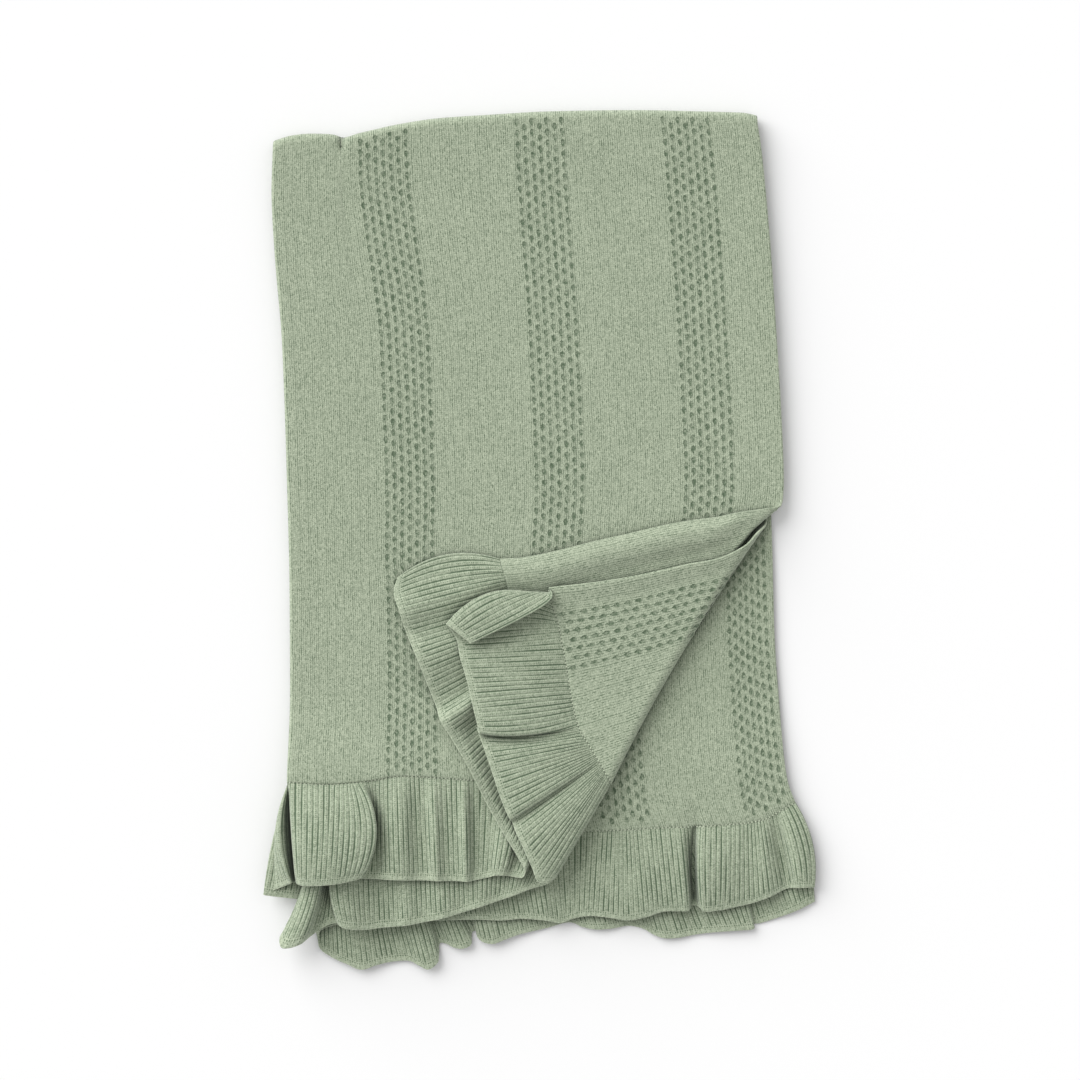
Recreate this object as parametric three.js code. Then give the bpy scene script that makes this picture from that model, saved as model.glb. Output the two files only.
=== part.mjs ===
// Knitted baby blanket with gathered rib ruffles at both ends.
// It is folded lengthwise on the left and crosswise at the top, so four layers lie over each other:
// A and B in front, C and D behind. The lower right corner of A and B is turned back.
// Millimetres. X runs across the blanket, Y towards the crosswise fold, Z up from the floor.
// On the flat panel u runs across from the free edge of A, and v along from the front ruffle.

import * as THREE from "three";

const knitThick = 1.8;
const ruffleThick = 1.3;
const panelLength = 870;
const panelWidth = { start: 682, end: 670 };
const foldU = 332;
const topRadius = 3.2;
const topUnderside = 2.2;

// The ruffles keep this gap to the knit, and more where their seam turns over with the corner.
const seamGap = 0.65;
const turnGap = 0.9;
const turnSeam = { u: 152, reach: 7 };

// Heights of the middles of the layers over the floor, how much each rises under the ruffles, and
// how much the two upper ones rise over the thick crosswise fold.
const restHeight = { A: 8.7, B: 6.1, C: 3.5, D: 0.9 };
const hemHeight = { A: 5.3, B: 3.9, C: 2.5, D: 0 };
const topHeight = { A: 1.2, B: 1.2, C: 0, D: 0 };
const hemRiseY = { from: -97, to: -158 };
const topRiseShare = 0.12;

const halfLength = panelLength / 2;
const topArc = (Math.PI * topRadius) / 2;

// Long edges of the layers: share of the way from the crosswise fold to the seam, x.
const frontLeft = [
  [0, -170.3], [0.07, -171.2], [0.165, -169.3], [0.307, -164.5], [0.535, -161.2], [0.693, -159.6],
  [0.873, -159.3], [1, -160.3],
];
const rightA = [
  [0, 140.3], [0.04, 142.9], [0.183, 148.7], [0.314, 152.5], [0.442, 155.8], [0.544, 157.4],
  [0.593, 155.8], [0.62, 153.8], [0.655, 152.5], [0.7, 155.1], [0.747, 157.1], [0.8, 158.0],
  [0.85, 159.3], [0.908, 160.0], [0.96, 161.6], [1, 165.1],
];
const rightB = [
  [0, 138.0], [0.3, 143.2], [0.58, 148.0], [0.63, 147.1], [0.668, 146.7], [0.697, 141.9],
  [0.73, 140.8], [0.794, 146.7], [0.857, 153.1], [0.919, 161.1], [1, 174.2],
];
const backLeft = [
  [0, -170.3], [0.3, -161.9], [0.6, -157.4], [0.85, -154.2], [1, -149.6],
];
const rightC = [
  [0, 138.0], [0.3, 144.5], [0.62, 150.3], [0.756, 151.9], [0.85, 154.8], [0.93, 157.7], [0.97, 160.3],
  [1, 165.1],
];
const rightD = [
  [0, 140.3], [0.3, 143.2], [0.6, 145.8], [0.85, 148.3], [1, 158.7],
];

// The crosswise fold and the seams: share of the way from the lengthwise fold across, y.
const topLine = [
  [0, 258.6], [0.03, 261.5], [0.07, 262.8], [0.115, 262.4], [0.141, 260.1], [0.165, 262.5],
  [0.2, 265.1], [0.25, 268.6], [0.33, 272.5], [0.45, 275.1], [0.57, 277.2], [0.74, 278.0],
  [0.9, 277.0], [0.97, 276.3], [1, 274.4],
];
const seamA = [
  [0, -156.1], [0.07, -157.2], [0.15, -155.2], [0.22, -151.9], [0.3, -153.2], [0.4, -155.4],
  [0.6, -157.4], [1, -156.7],
];
const seamB = [
  [0, -156.1], [0.03, -161.2], [0.1, -172.2], [0.2, -178.7], [0.3, -175.4], [0.47, -164.5],
  [0.6, -159.3], [0.7, -158.3], [0.76, -158.3], [0.8, -154.5], [0.861, -145.4], [0.9, -140.0],
  [0.941, -134.8], [0.975, -132.5], [1, -129.0],
];
const seamC = [
  [0, -203.8], [0.1, -197.4], [0.3, -192.2], [0.54, -188.3], [0.61, -187.7], [0.7, -186.1],
  [0.77, -185.4], [0.86, -183.6], [0.92, -181.2], [0.97, -174.8], [1, -169.6],
];
const seamD = [
  [0, -203.8], [0.1, -210.3], [0.25, -211.6], [0.45, -197.4], [0.6, -188.3], [0.8, -190.9],
  [0.93, -181.9], [1, -171.6],
];

// Free edges of the ruffles in their flutes and folds: u on the seam, x, y, z, sideways bow, lift.
const cornerOfA = [
  [0, -91.6, -23.9, 12.5, -9.0, 0], [8, -94.2, -33.5, 14.2, -3.9, 0], [17, -90.3, -46.4, 17.5, 0.0, 0],
  [30, -85.8, -60.6, 14.2, 0.0, 0], [44, -78.7, -77.4, 16.8, 0.0, 0], [62, -66.4, -109.0, 13, 1.3, -1],
  [67.5, -64.2, -115.8, 18.8, 1.3, 1], [80, -56.8, -127.7, 19.5, 0.0, -3],
  [96, -45.8, -146.4, 22, 0.0, -3.6], [112, -34.2, -169.0, 23, 0.0, -3],
  [126, -22.6, -189.6, 23.2, 0.0, -1.4], [139, -13.5, -204.5, 22.8, 0.0, 1],
];
const frontA = [
  [148, -9.7, -212.1, 23, 0.0, 0.5], [155, -11.3, -216.6, 20.6, 0.0, 0],
  [161, -15.5, -216.7, 18.6, 0.0, -1], [168, -19.4, -216.1, 17.4, 0.0, -1.6],
  [176, -23.9, -215.4, 20.4, 0.0, 1.2], [186, -28.4, -215.4, 20, 0.0, 1.2],
  [194, -32.9, -216.7, 17.8, 0.0, -1.2], [203, -38.1, -218.0, 17.2, 0.0, -2],
  [211, -43.2, -219.0, 17.4, 0.0, -1.8], [216, -47.1, -219.4, 20.4, 0.0, 1.5],
  [221, -51.6, -219.2, 18.6, 0.0, -0.2], [230, -60.0, -219.1, 18.2, 0.0, -0.4],
  [237, -66.4, -219.0, 20.6, 0.0, 1.5], [243, -72.2, -218.8, 18.2, 0.0, -1.4],
  [249, -78.4, -218.7, 18, 0.0, -1], [256, -85.8, -218.5, 20.8, 0.0, 1.4],
  [263, -92.9, -218.3, 21, 0.0, 1.4], [269, -99.3, -218.2, 18.8, 0.0, -0.6],
  [274, -105.1, -217.9, 17, 0.0, -2.2], [277.5, -111.6, -217.7, 17.2, 2.6, -2],
  [280, -115.8, -217.4, 18.8, 5.8, -0.6], [281.5, -117.1, -217.2, 22, 7.7, 1.2],
  [284, -114.8, -216.8, 24.8, 10.3, 2.6], [295, -129.0, -219.9, 28, 1.9, 3],
  [312, -144.5, -221.2, 28, 1.3, 3], [322, -152.2, -221.2, 26.5, 0.0, 2.6],
  [328.5, -155.4, -220.3, 24.5, -0.6, 2], [330.5, -156.4, -219.8, 16.5, 0.6, -3],
  [331.8, -158.0, -220.1, 14.5, 0.0, -3.5], [333.2, -159.6, -220.3, 18.5, -5.8, 2.6],
];
const frontLeftSide = [
  [334.4, -160.9, -221.2, 16.5, -8.1, 2.6], [335.4, -174.2, -227.0, 10.8, -3.2, -2.4],
  [336.6, -178.1, -228.6, 11.6, -2.6, -1.6], [338.5, -173.5, -229.6, 11, 0.0, 0],
  [341, -163.8, -230.9, 10, 1.9, 0], [343.2, -152.9, -233.2, 9.6, 3.9, 0],
];
const frontB = [
  [345, -151.6, -241.2, 9.7, 6.5, 0], [346.6, -158.7, -251.6, 11, 8.4, 0],
  [348.4, -167.1, -255.1, 13.4, 9.7, 0.5], [351, -166.4, -261.9, 17.4, 9.0, 1],
  [355, -161.6, -262.2, 19, 8.4, 1.4], [359.5, -154.2, -259.9, 18.6, 7.7, 1.6],
  [363.5, -149.6, -256.7, 12.6, 6.5, 0.2], [368, -142.5, -251.6, 10.3, 3.9, -0.8],
  [373.5, -135.5, -248.0, 10.2, 0.0, -0.9], [378, -130.3, -247.0, 11.2, -4.5, -0.5],
  [380, -129.6, -247.4, 16, -7.7, 1], [383, -126.4, -249.3, 18.2, -7.1, 1.4],
  [389, -119.3, -250.6, 17.6, -3.9, 1.2], [396, -110.9, -250.9, 14.4, -1.3, 0],
  [404, -102.6, -249.9, 12.4, 0.0, -0.8], [413, -94.2, -249.2, 12.8, 0.0, -0.6],
  [422, -85.8, -248.1, 15.6, 0.0, 0.6], [434, -74.8, -246.1, 14, 0.0, 0],
  [447, -62.6, -243.5, 16, 0.0, 0.6], [462, -49.0, -239.6, 13.8, 0.0, -0.3],
  [478, -36.8, -235.7, 15.4, 0.0, 0.4], [494, -26.4, -232.2, 13.6, 0.0, -0.3],
  [512, -17.4, -229.0, 15.2, 0.0, 0.2], [541, -6.5, -224.8, 14.6, 0.0, 0],
  [552, 4.5, -221.2, 15.2, 0.0, 0],
];
const cornerOfB = [
  [560, 10.3, -216.1, 19, 0.0, 0], [566, 5.2, -219.3, 23.6, 0.0, 0],
  [569.5, -1.0, -219.0, 25.2, 0.0, 0.5], [571.5, -5.2, -209.6, 26, 0.0, 1],
  [574, -11.0, -196.7, 26, 0.0, 1], [576.5, -15.8, -186.4, 24.6, 0.0, 0.6],
  [578.5, -18.1, -180.3, 22.8, 0.0, 0.3], [579.8, -19.4, -178.7, 25.8, 0.0, 0.8],
  [583, -24.5, -167.1, 26, 0.0, 1], [588, -30.0, -150.9, 24.8, 0.0, 0.8],
  [594, -34.8, -136.7, 23.4, 0.0, 0.5], [599, -38.1, -127.7, 20.8, 3.2, 0.3],
  [601.5, -40.6, -120.6, 19.8, 2.6, 0.2], [604.5, -39.0, -123.5, 24.8, 3.9, 0.5],
  [618, -42.6, -108.4, 24.4, 0.0, 0.5], [632, -47.4, -88.4, 22.4, 0.0, 0],
  [645, -51.6, -74.2, 20.4, 0.0, 0], [656, -53.5, -64.5, 17.6, 0.0, -0.5],
  [666, -59.0, -55.5, 17.8, -10.3, -0.5], [673, -60.0, -54.2, 22.4, -14.2, 2],
  [682, -44.1, -66.4, 25, 7.7, 6],
];
const backD = [
  [0, 178.0, -234.1, 2.2, 4.5, 0], [14, 166.4, -239.9, 3.2, 0.0, 0], [28, 153.5, -244.8, 1.8, 0.0, 0],
  [38, 142.5, -248.3, 1.2, 0.0, 0], [43, 138.7, -249.0, 1.3, 1.3, 0], [47, 138.4, -251.6, 3.6, 1.9, 0],
  [60, 127.7, -252.8, 4, 0.0, 0], [74, 114.8, -253.8, 3.4, 0.0, 0], [86, 101.9, -255.4, 2, 0.0, -0.5],
  [98, 89.0, -257.7, 3, 0.0, 0], [106, 80.0, -257.7, 3.6, 0.0, 0], [113, 73.5, -255.4, 2.6, 0.0, 0],
  [120, 67.7, -252.2, 1.4, 0.0, 0], [130, 58.1, -249.9, 1.2, 0.0, 0], [142, 46.4, -251.6, 3, 0.0, 0],
  [152, 36.1, -252.1, 3.6, 0.0, 0], [160, 27.7, -250.6, 2.6, 0.0, 0], [168, 20.0, -247.7, 1.4, 0.0, 0],
  [182, 3.2, -251.6, 1.8, 0.0, 0], [198, -13.5, -255.4, 3.4, 0.0, 0],
  [208, -22.6, -258.6, 4.2, 0.0, 0], [216, -30.3, -261.2, 5, 0.0, 0.4],
  [223, -37.1, -259.9, 4.6, 0.6, 0], [227, -40.3, -256.7, 3.6, 1.3, 0],
  [230, -41.0, -252.8, 1.4, 0.0, 0], [235, -43.9, -254.1, 1.3, -0.6, 0],
  [237.5, -44.8, -261.9, 4.2, -1.9, 0], [243, -50.3, -264.4, 4.8, 0.0, 0],
  [250, -56.1, -263.5, 4, 0.0, 0], [254.5, -60.6, -261.5, 2, 0.0, 0],
  [258, -64.8, -261.2, 1.3, 0.6, 0], [261, -65.5, -268.3, 3.6, 1.9, 0],
  [263, -66.4, -273.5, 5, 1.9, 0.3], [266, -72.2, -277.7, 5.8, 0.6, 0.5],
  [271, -78.0, -275.4, 5, 0.0, 0], [277, -84.5, -272.5, 3, 0.0, 0], [285, -95.5, -273.0, 2.8, 0.0, 0],
  [293, -105.8, -275.1, 4.4, 0.0, 0], [300, -115.5, -277.9, 5.4, 0.0, 0],
  [308, -125.1, -274.3, 4.8, 0.0, 0], [316, -134.8, -269.9, 3.8, 0.0, 0],
  [323, -142.2, -264.4, 3.2, 0.0, 0],
];
const backLeftSide = [
  [330, -143.2, -256.7, 4, -1.9, 0],
];
const backC = [
  [335, -141.6, -252.2, 7, 0.0, 0], [352, -123.8, -247.0, 7.4, 0.0, 0],
  [372, -104.5, -247.7, 6.8, 0.0, 0], [394, -82.6, -245.7, 7.6, 0.0, 0],
  [414, -61.9, -245.7, 7, 0.0, 0], [436, -42.6, -245.1, 8.2, 0.0, 0],
  [456, -24.5, -245.7, 7.6, 0.0, 0], [470, -12.3, -244.8, 6.8, 0.0, 0],
  [488, 3.2, -245.7, 8.4, 0.0, 0.8], [500, 12.9, -247.4, 7, 0.0, 0],
  [514, 21.9, -244.5, 6.6, 0.0, -0.4], [526, 31.6, -242.9, 7.4, 0.0, 0.2],
  [538, 43.9, -243.8, 8, 0.0, 1.2], [547, 56.1, -245.6, 8.4, 0.0, 2],
  [556, 68.4, -243.5, 8.6, 0.0, 2.4], [568, 80.0, -239.9, 8.4, 0.0, 2.4],
  [578, 89.7, -239.6, 8.8, 0.0, 2.6], [585, 95.5, -239.3, 9, 0.0, 2.6],
  [588, 97.1, -237.7, 7.2, 0.0, 0.6], [591, 98.0, -236.4, 5.2, 0.0, -1.6],
  [595, 101.3, -236.4, 5, 0.0, -1.7], [597.3, 103.5, -237.7, 7.6, -1.3, 1],
  [600, 105.5, -239.6, 9.2, -1.3, 3], [611, 114.2, -239.3, 9, 0.0, 2.8],
  [624, 126.4, -237.0, 7.8, 0.0, 2], [634, 137.4, -234.5, 7.2, 0.0, 1.4],
  [643, 149.0, -230.3, 8, 0.0, 1.6], [648, 154.8, -227.4, 7, 0.0, 0.2],
  [651.5, 159.0, -225.6, 5.4, 0.0, -1.5], [655, 162.5, -225.0, 5.4, 0.6, -1.5],
  [658, 166.1, -224.7, 8.4, 1.9, 1.6], [664, 171.6, -224.4, 9, 3.2, 2],
  [670, 177.4, -224.4, 7.6, 5.2, 0.6],
];

const frontEdge = [...cornerOfA, ...frontA, ...frontLeftSide, ...frontB, ...cornerOfB];
const backEdge = [...backD, ...backLeftSide, ...backC];

// A cubic through the rows of a table, which never overshoots them.
function follow(table, at) {
  const last = table.length - 1;
  let i = 0;
  while (i < last - 1 && at > table[i + 1][0]) {
    i += 1;
  }
  const slope = (k) => (table[k + 1][1] - table[k][1]) / (table[k + 1][0] - table[k][0]);
  const tangent = (k) => {
    if (k === 0) {
      return slope(0);
    }
    if (k === last) {
      return slope(last - 1);
    }
    const before = slope(k - 1);
    const after = slope(k);
    return before * after <= 0 ? 0 : (2 * before * after) / (before + after);
  };
  const step = table[i + 1][0] - table[i][0];
  const f = (at - table[i][0]) / step;
  if (f < 0) {
    return table[i][1] + tangent(i) * step * f;
  }
  if (f > 1) {
    return table[i + 1][1] + tangent(i + 1) * step * (f - 1);
  }
  return cubic(table[i][1], table[i + 1][1], step * tangent(i), step * tangent(i + 1), f);
}

function cubic(start, end, startSlope, endSlope, f) {
  const f2 = f * f;
  const f3 = f2 * f;
  return (2 * f3 - 3 * f2 + 1) * start + (f3 - 2 * f2 + f) * startSlope
    + (3 * f2 - 2 * f3) * end + (f3 - f2) * endSlope;
}

function ease(from, to, at) {
  const f = Math.min(1, Math.max(0, (at - from) / (to - from)));
  return f * f * (3 - 2 * f);
}

const blend = (from, to, f) => from + (to - from) * f;

// Height of a layer, t of the way from the crosswise fold to the seam.
const level = (name, t, y) => restHeight[name] + hemHeight[name] * ease(hemRiseY.from, hemRiseY.to, y)
  + topHeight[name] * (1 - ease(0, topRiseShare, t));

// Spread tells how much wider apart the knit of a layer lies towards its free edge.
const layers = {
  A: { left: frontLeft, right: rightA, seam: seamA, spread: 1 },
  B: { left: frontLeft, right: rightB, seam: seamB, spread: 1.12 },
  C: { left: backLeft, right: rightC, seam: seamC, spread: 1 },
  D: { left: backLeft, right: rightD, seam: seamD, spread: 1 },
};

// The free long edge of the inner layers runs slightly askew to the knit.
const widthAt = (v) => blend(panelWidth.start, panelWidth.end, v / panelLength);

// Lines over which the corner of A and B is turned back: a point, the direction, the radius, how far
// the flap lies over its own layer, and the bow of the line at a distance along it. Below the pivot
// the columns of the knit's mesh close up along the line.
const bowA = (along) => 6 * (1 - ease(112, 147, along));
const bowB = (along) => Math.max(-5, 3 * (1 - (along / 85) ** 2)) - 3.5 * ease(104, 120, along);
const turns = {
  A: { at: [69.9, -87.8], along: [0.603, 0.797], radius: 2.2, rise: 3, bow: bowA, pivot: 0.56 },
  B: { at: [84, -81.3], along: [0.505, 0.863], radius: 4.6, rise: 8.2, bow: bowB, pivot: 0.63 },
};

function turnDistance(turn, x, y) {
  const dx = x - turn.at[0];
  const dy = y - turn.at[1];
  const along = dx * turn.along[0] + dy * turn.along[1];
  return dx * turn.along[1] - dy * turn.along[0] + turn.bow(along);
}

// The flap of B lies on its own layer next to its turned fold, and further in on the flap of A.
const flapOverFlap = 2.8;
const flapClimb = { from: 6, to: 28 };

function flapLevel(name, x, y) {
  const first = level("A", 1, y) + turns.A.rise;
  if (name === "A") {
    return first;
  }
  const climbed = ease(flapClimb.from, flapClimb.to, -turnDistance(turns.B, x, y));
  return blend(level("B", 1, y) + turns.B.rise, first + flapOverFlap, climbed);
}

function turnedBack(name, x, y, z) {
  const turn = turns[name];
  const beyond = turnDistance(turn, x, y);
  if (beyond <= 0) {
    return [x, y, z];
  }
  const angle = Math.min(beyond / turn.radius, Math.PI);
  const reach = turn.radius * Math.sin(angle) - Math.max(0, beyond - Math.PI * turn.radius);
  const nx = x + turn.along[1] * (reach - beyond);
  const ny = y - turn.along[0] * (reach - beyond);
  const rise = (1 - Math.cos(angle)) / 2;
  return [nx, ny, blend(z, flapLevel(name, nx, ny), rise)];
}

const spreadPower = (layer, t) => blend(1, layer.spread, ease(0, 0.5, t));
const shareDown = (v) => Math.max(0, Math.abs(v - halfLength) - topArc) / (halfLength - topArc);
const topAt = (share) => follow(topLine, share) - topRadius - topUnderside;

// The two layers that the lengthwise fold joins at v, half the height between them and their middle.
function foldAt(v) {
  const [outer, inner] = v < halfLength ? ["A", "B"] : ["D", "C"];
  const t = shareDown(v);
  const y = blend(topAt(0), follow(layers[outer].seam, 0), t);
  const high = level(outer, t, y);
  const low = level(inner, t, y);
  return { outer, inner, t, half: Math.abs(high - low) / 2, middle: (high + low) / 2 };
}

// Length of knit that goes round the lengthwise fold on either side of its middle line.
const wrapAt = (half) => (Math.PI * half) / 2;

// Middle of the knit at u and v.
function panelPoint(u, v) {
  const front = v < halfLength;
  const { outer, inner, t, half, middle } = foldAt(v);
  const wrap = wrapAt(half);
  const across = u - foldU;
  const name = across < 0 ? outer : inner;
  const layer = layers[name];
  const width = across < 0 ? foldU : widthAt(v) - foldU;
  const s = Math.max(0, Math.abs(across) - wrap) / (width - wrap);
  const turn = Math.min(1, Math.max(-1, across / wrap)) * (Math.PI / 2);
  const side = -Math.sin(turn) * half;
  const share = s ** spreadPower(layer, t);
  const x = blend(follow(layer.left, t), follow(layer.right, t), share) - Math.cos(turn) * half;
  const y = blend(topAt(share), follow(layer.seam, s), t);
  if (Math.abs(v - halfLength) < topArc) {
    const angle = ((v - halfLength) / topArc) * (Math.PI / 2);
    const r = topRadius + side;
    return [x, y + r * Math.cos(angle), topUnderside + topRadius - r * Math.sin(angle)];
  }
  const z = s > 0 ? level(name, t, y) : middle + (front ? side : -side);
  return front && s > 0 ? turnedBack(name, x, y, z) : [x, y, z];
}

const minus = (a, b) => [a[0] - b[0], a[1] - b[1], a[2] - b[2]];
const cross = (a, b) => [a[1] * b[2] - a[2] * b[1], a[2] * b[0] - a[0] * b[2], a[0] * b[1] - a[1] * b[0]];
const mixed = (a, b, f) => a.map((value, i) => blend(value, b[i], f));
const offset = (p, n, by) => [p[0] + n[0] * by, p[1] + n[1] * by, p[2] + n[2] * by];

function unit(a) {
  const size = Math.hypot(...a) || 1;
  return a.map((value) => value / size);
}

const slopeStep = 0.05;

function panelNormal(u, v) {
  const du = minus(panelPoint(u + slopeStep, v), panelPoint(u - slopeStep, v));
  const dv = minus(panelPoint(u, v + slopeStep), panelPoint(u, v - slopeStep));
  return unit(cross(dv, du));
}

// Where the columns of the panel stand, as shares of the way across a layer: an even stretch, which
// is closer at the notch of the crosswise fold, then close together over the turned fold, then the
// flap.
const evenShares = [0, 0.09, 0.195, 0.227, 0.26, 0.34, 0.46, 0.6, 0.74, 0.87, 1];
const flapShares = [0.06, 0.15, 0.27, 0.47, 0.72, 1];
const arcCells = 5;
const evenEnd = 0.62;
const latestTurn = 0.955;
const arcSpare = 1.35;
const searchSteps = 30;

// Share of the way across at which the turned fold crosses row v.
function turnShare(name, v) {
  const layer = layers[name];
  const t = (Math.abs(v - halfLength) - topArc) / (halfLength - topArc);
  let low = 0;
  let high = 1.4;
  for (let k = 0; k < searchSteps; k += 1) {
    const s = (low + high) / 2;
    const x = blend(follow(layer.left, t), follow(layer.right, t), s ** spreadPower(layer, t));
    const y = blend(follow(topLine, Math.min(1, s)), follow(layer.seam, Math.min(1, s)), t);
    if (turnDistance(turns[name], x, y) > 0) {
      high = s;
    } else {
      low = s;
    }
  }
  return low;
}

function columns(name, v) {
  const t = shareDown(v);
  const width = name === "A" ? foldU : widthAt(v) - foldU;
  let start = evenEnd;
  let arc = (1 - evenEnd) / 2;
  if (v < halfLength) {
    const { pivot, radius } = turns[name];
    start = Math.min(turnShare(name, v), blend(evenEnd, latestTurn, ease(0, pivot, t)));
    const loose = (1 - start) / 2;
    const tight = Math.min((Math.PI * radius * arcSpare) / width, loose);
    arc = blend(loose, tight, ease(0.2, 1, t / pivot));
  }
  const shares = evenShares.map((c) => c * start);
  for (let k = 1; k <= arcCells; k += 1) {
    shares.push(start + (arc * k) / arcCells);
  }
  for (const f of flapShares) {
    shares.push(start + arc + (1 - start - arc) * f);
  }
  return shares;
}

// Places u across the whole panel at v: the outer layer, the lengthwise fold, the inner layer.
const wrapCells = 6;

function stations(v) {
  const wrap = wrapAt(foldAt(v).half);
  const all = columns("A", v).map((s) => foldU - wrap - s * (foldU - wrap)).reverse();
  for (let k = 1; k < wrapCells; k += 1) {
    all.push(foldU - wrap + (2 * wrap * k) / wrapCells);
  }
  const width = widthAt(v) - foldU - wrap;
  all.push(...columns("B", v).map((s) => foldU + wrap + s * width));
  return all;
}

// Places v along the panel, as shares of each half, closer where it bends or its edge is wavy.
const frontRows = [
  0, 0.035, 0.07, 0.11, 0.16, 0.21, 0.26, 0.31, 0.35, 0.385, 0.4, 0.4125, 0.425, 0.46, 0.51, 0.58,
  0.67, 0.77, 0.86, 0.93, 0.97,
];
const backRows = [0.04, 0.09, 0.18, 0.3, 0.44, 0.58, 0.7, 0.8, 0.87, 0.93, 1];
const topCells = 6;

function rowStations() {
  const half = halfLength - topArc;
  const all = frontRows.map((f) => f * half);
  for (let k = 0; k <= topCells; k += 1) {
    all.push(half + (2 * topArc * k) / topCells);
  }
  all.push(...backRows.map((f) => halfLength + topArc + f * half));
  return all;
}

// A closed sheet from two grids of points, one for each face.
function closedSheet(upper, lower) {
  const rows = upper.length;
  const cols = upper[0].length;
  const points = [...upper, ...lower].flat(2);
  const second = rows * cols;
  const faces = [];
  const quad = (a, b, c, d) => faces.push(a, b, c, a, c, d);
  for (let i = 0; i < rows - 1; i += 1) {
    for (let j = 0; j < cols - 1; j += 1) {
      const a = i * cols + j;
      quad(a, a + 1, a + cols + 1, a + cols);
      quad(second + a, second + a + cols, second + a + cols + 1, second + a + 1);
    }
  }
  for (let j = 0; j < cols - 1; j += 1) {
    const end = (rows - 1) * cols + j;
    quad(j, second + j, second + j + 1, j + 1);
    quad(end, end + 1, second + end + 1, second + end);
  }
  for (let i = 0; i < rows - 1; i += 1) {
    const a = i * cols;
    const b = a + cols - 1;
    quad(a, a + cols, second + a + cols, second + a);
    quad(b, second + b, second + b + cols, b + cols);
  }
  const geometry = new THREE.BufferGeometry();
  geometry.setAttribute("position", new THREE.Float32BufferAttribute(points, 3));
  geometry.setIndex(faces);
  geometry.computeVertexNormals();
  return geometry;
}

// The knitted panel: one sheet, folded as it lies.
function panel() {
  const face = (side) => rowStations().map((v) => stations(v).map((u) => (
    offset(panelPoint(u, v), panelNormal(u, v), (side * knitThick) / 2)
  )));
  return closedSheet(face(-1), face(1));
}

// Seam of a ruffle: straight from column to column of the panel, a small gap beyond its end.
function seamLine(front) {
  const v = front ? 0 : panelLength;
  const list = stations(v);
  const turned = (u) => 1 - ease(0, turnSeam.reach, Math.abs(u - turnSeam.u));
  const gapAt = (u) => seamGap + (front ? turnGap * turned(u) : 0);
  const points = list.map((u) => panelPoint(u, front ? -gapAt(u) : panelLength + gapAt(u)));
  const normals = list.map((u) => panelNormal(u, v));
  return (u) => {
    let i = 0;
    while (i < list.length - 2 && u > list[i + 1]) {
      i += 1;
    }
    const f = Math.min(1, Math.max(0, (u - list[i]) / (list[i + 1] - list[i])));
    const point = mixed(points[i], points[i + 1], f);
    return { point, normal: unit(mixed(normals[i], normals[i + 1], f)) };
  };
}

// A centripetal curve through the rows of a free edge.
function edgeCurve(rows) {
  const knots = [0];
  for (let i = 1; i < rows.length; i += 1) {
    const chord = Math.hypot(...[1, 2, 3].map((c) => rows[i][c] - rows[i - 1][c]));
    knots.push(knots[i - 1] + Math.sqrt(chord));
  }
  const slope = (a, b, c) => (rows[b][c] - rows[a][c]) / (knots[b] - knots[a]);
  const tangent = (i, c) => {
    if (i === 0) {
      return slope(0, 1, c);
    }
    if (i === rows.length - 1) {
      return slope(i - 1, i, c);
    }
    return slope(i - 1, i, c) + slope(i, i + 1, c) - slope(i - 1, i + 1, c);
  };
  return (q) => {
    const i = Math.min(rows.length - 2, Math.max(0, Math.floor(q)));
    const step = knots[i + 1] - knots[i];
    return rows[i].map((value, c) => (
      cubic(value, rows[i + 1][c], step * tangent(i, c), step * tangent(i + 1, c), q - i)
    ));
  };
}

// The bow and the lift of a ruffle are greatest halfway down it, but near the free edge where the
// turned-back corner lies over its own ruffle, and near the seam at its last flute.
const bellyPower = (u) => (
  1 + 2 * ease(62, 78, u) * (1 - ease(122, 140, u)) - 0.65 * ease(674, 682, u)
);

// Rows of a ruffle down from the seam, and columns from one row of its table to the next: more
// where the front seam turns tightly and where the rows stand far apart.
const depthRows = [0, 0.1, 0.28, 0.52, 0.77, 1];
const tightSpans = [[144, 158], [551, 574]];
const tightCells = 4;
const longCells = 3;
const plainCells = 2;
const longChord = 9;
const seamBlend = 0.1;
const curveStep = 0.02;

function edgeStops(front, rows) {
  const stops = [0];
  for (let i = 0; i < rows.length - 1; i += 1) {
    const [u, x, y] = rows[i];
    const [nextU, nextX, nextY] = rows[i + 1];
    const tight = front && tightSpans.some(([from, to]) => nextU > from && u < to);
    const long = Math.hypot(nextX - x, nextY - y) > longChord;
    const longOrPlain = long ? longCells : plainCells;
    const cells = tight ? tightCells : longOrPlain;
    for (let k = 1; k <= cells; k += 1) {
      stops.push(i + k / cells);
    }
  }
  return stops;
}

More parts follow.
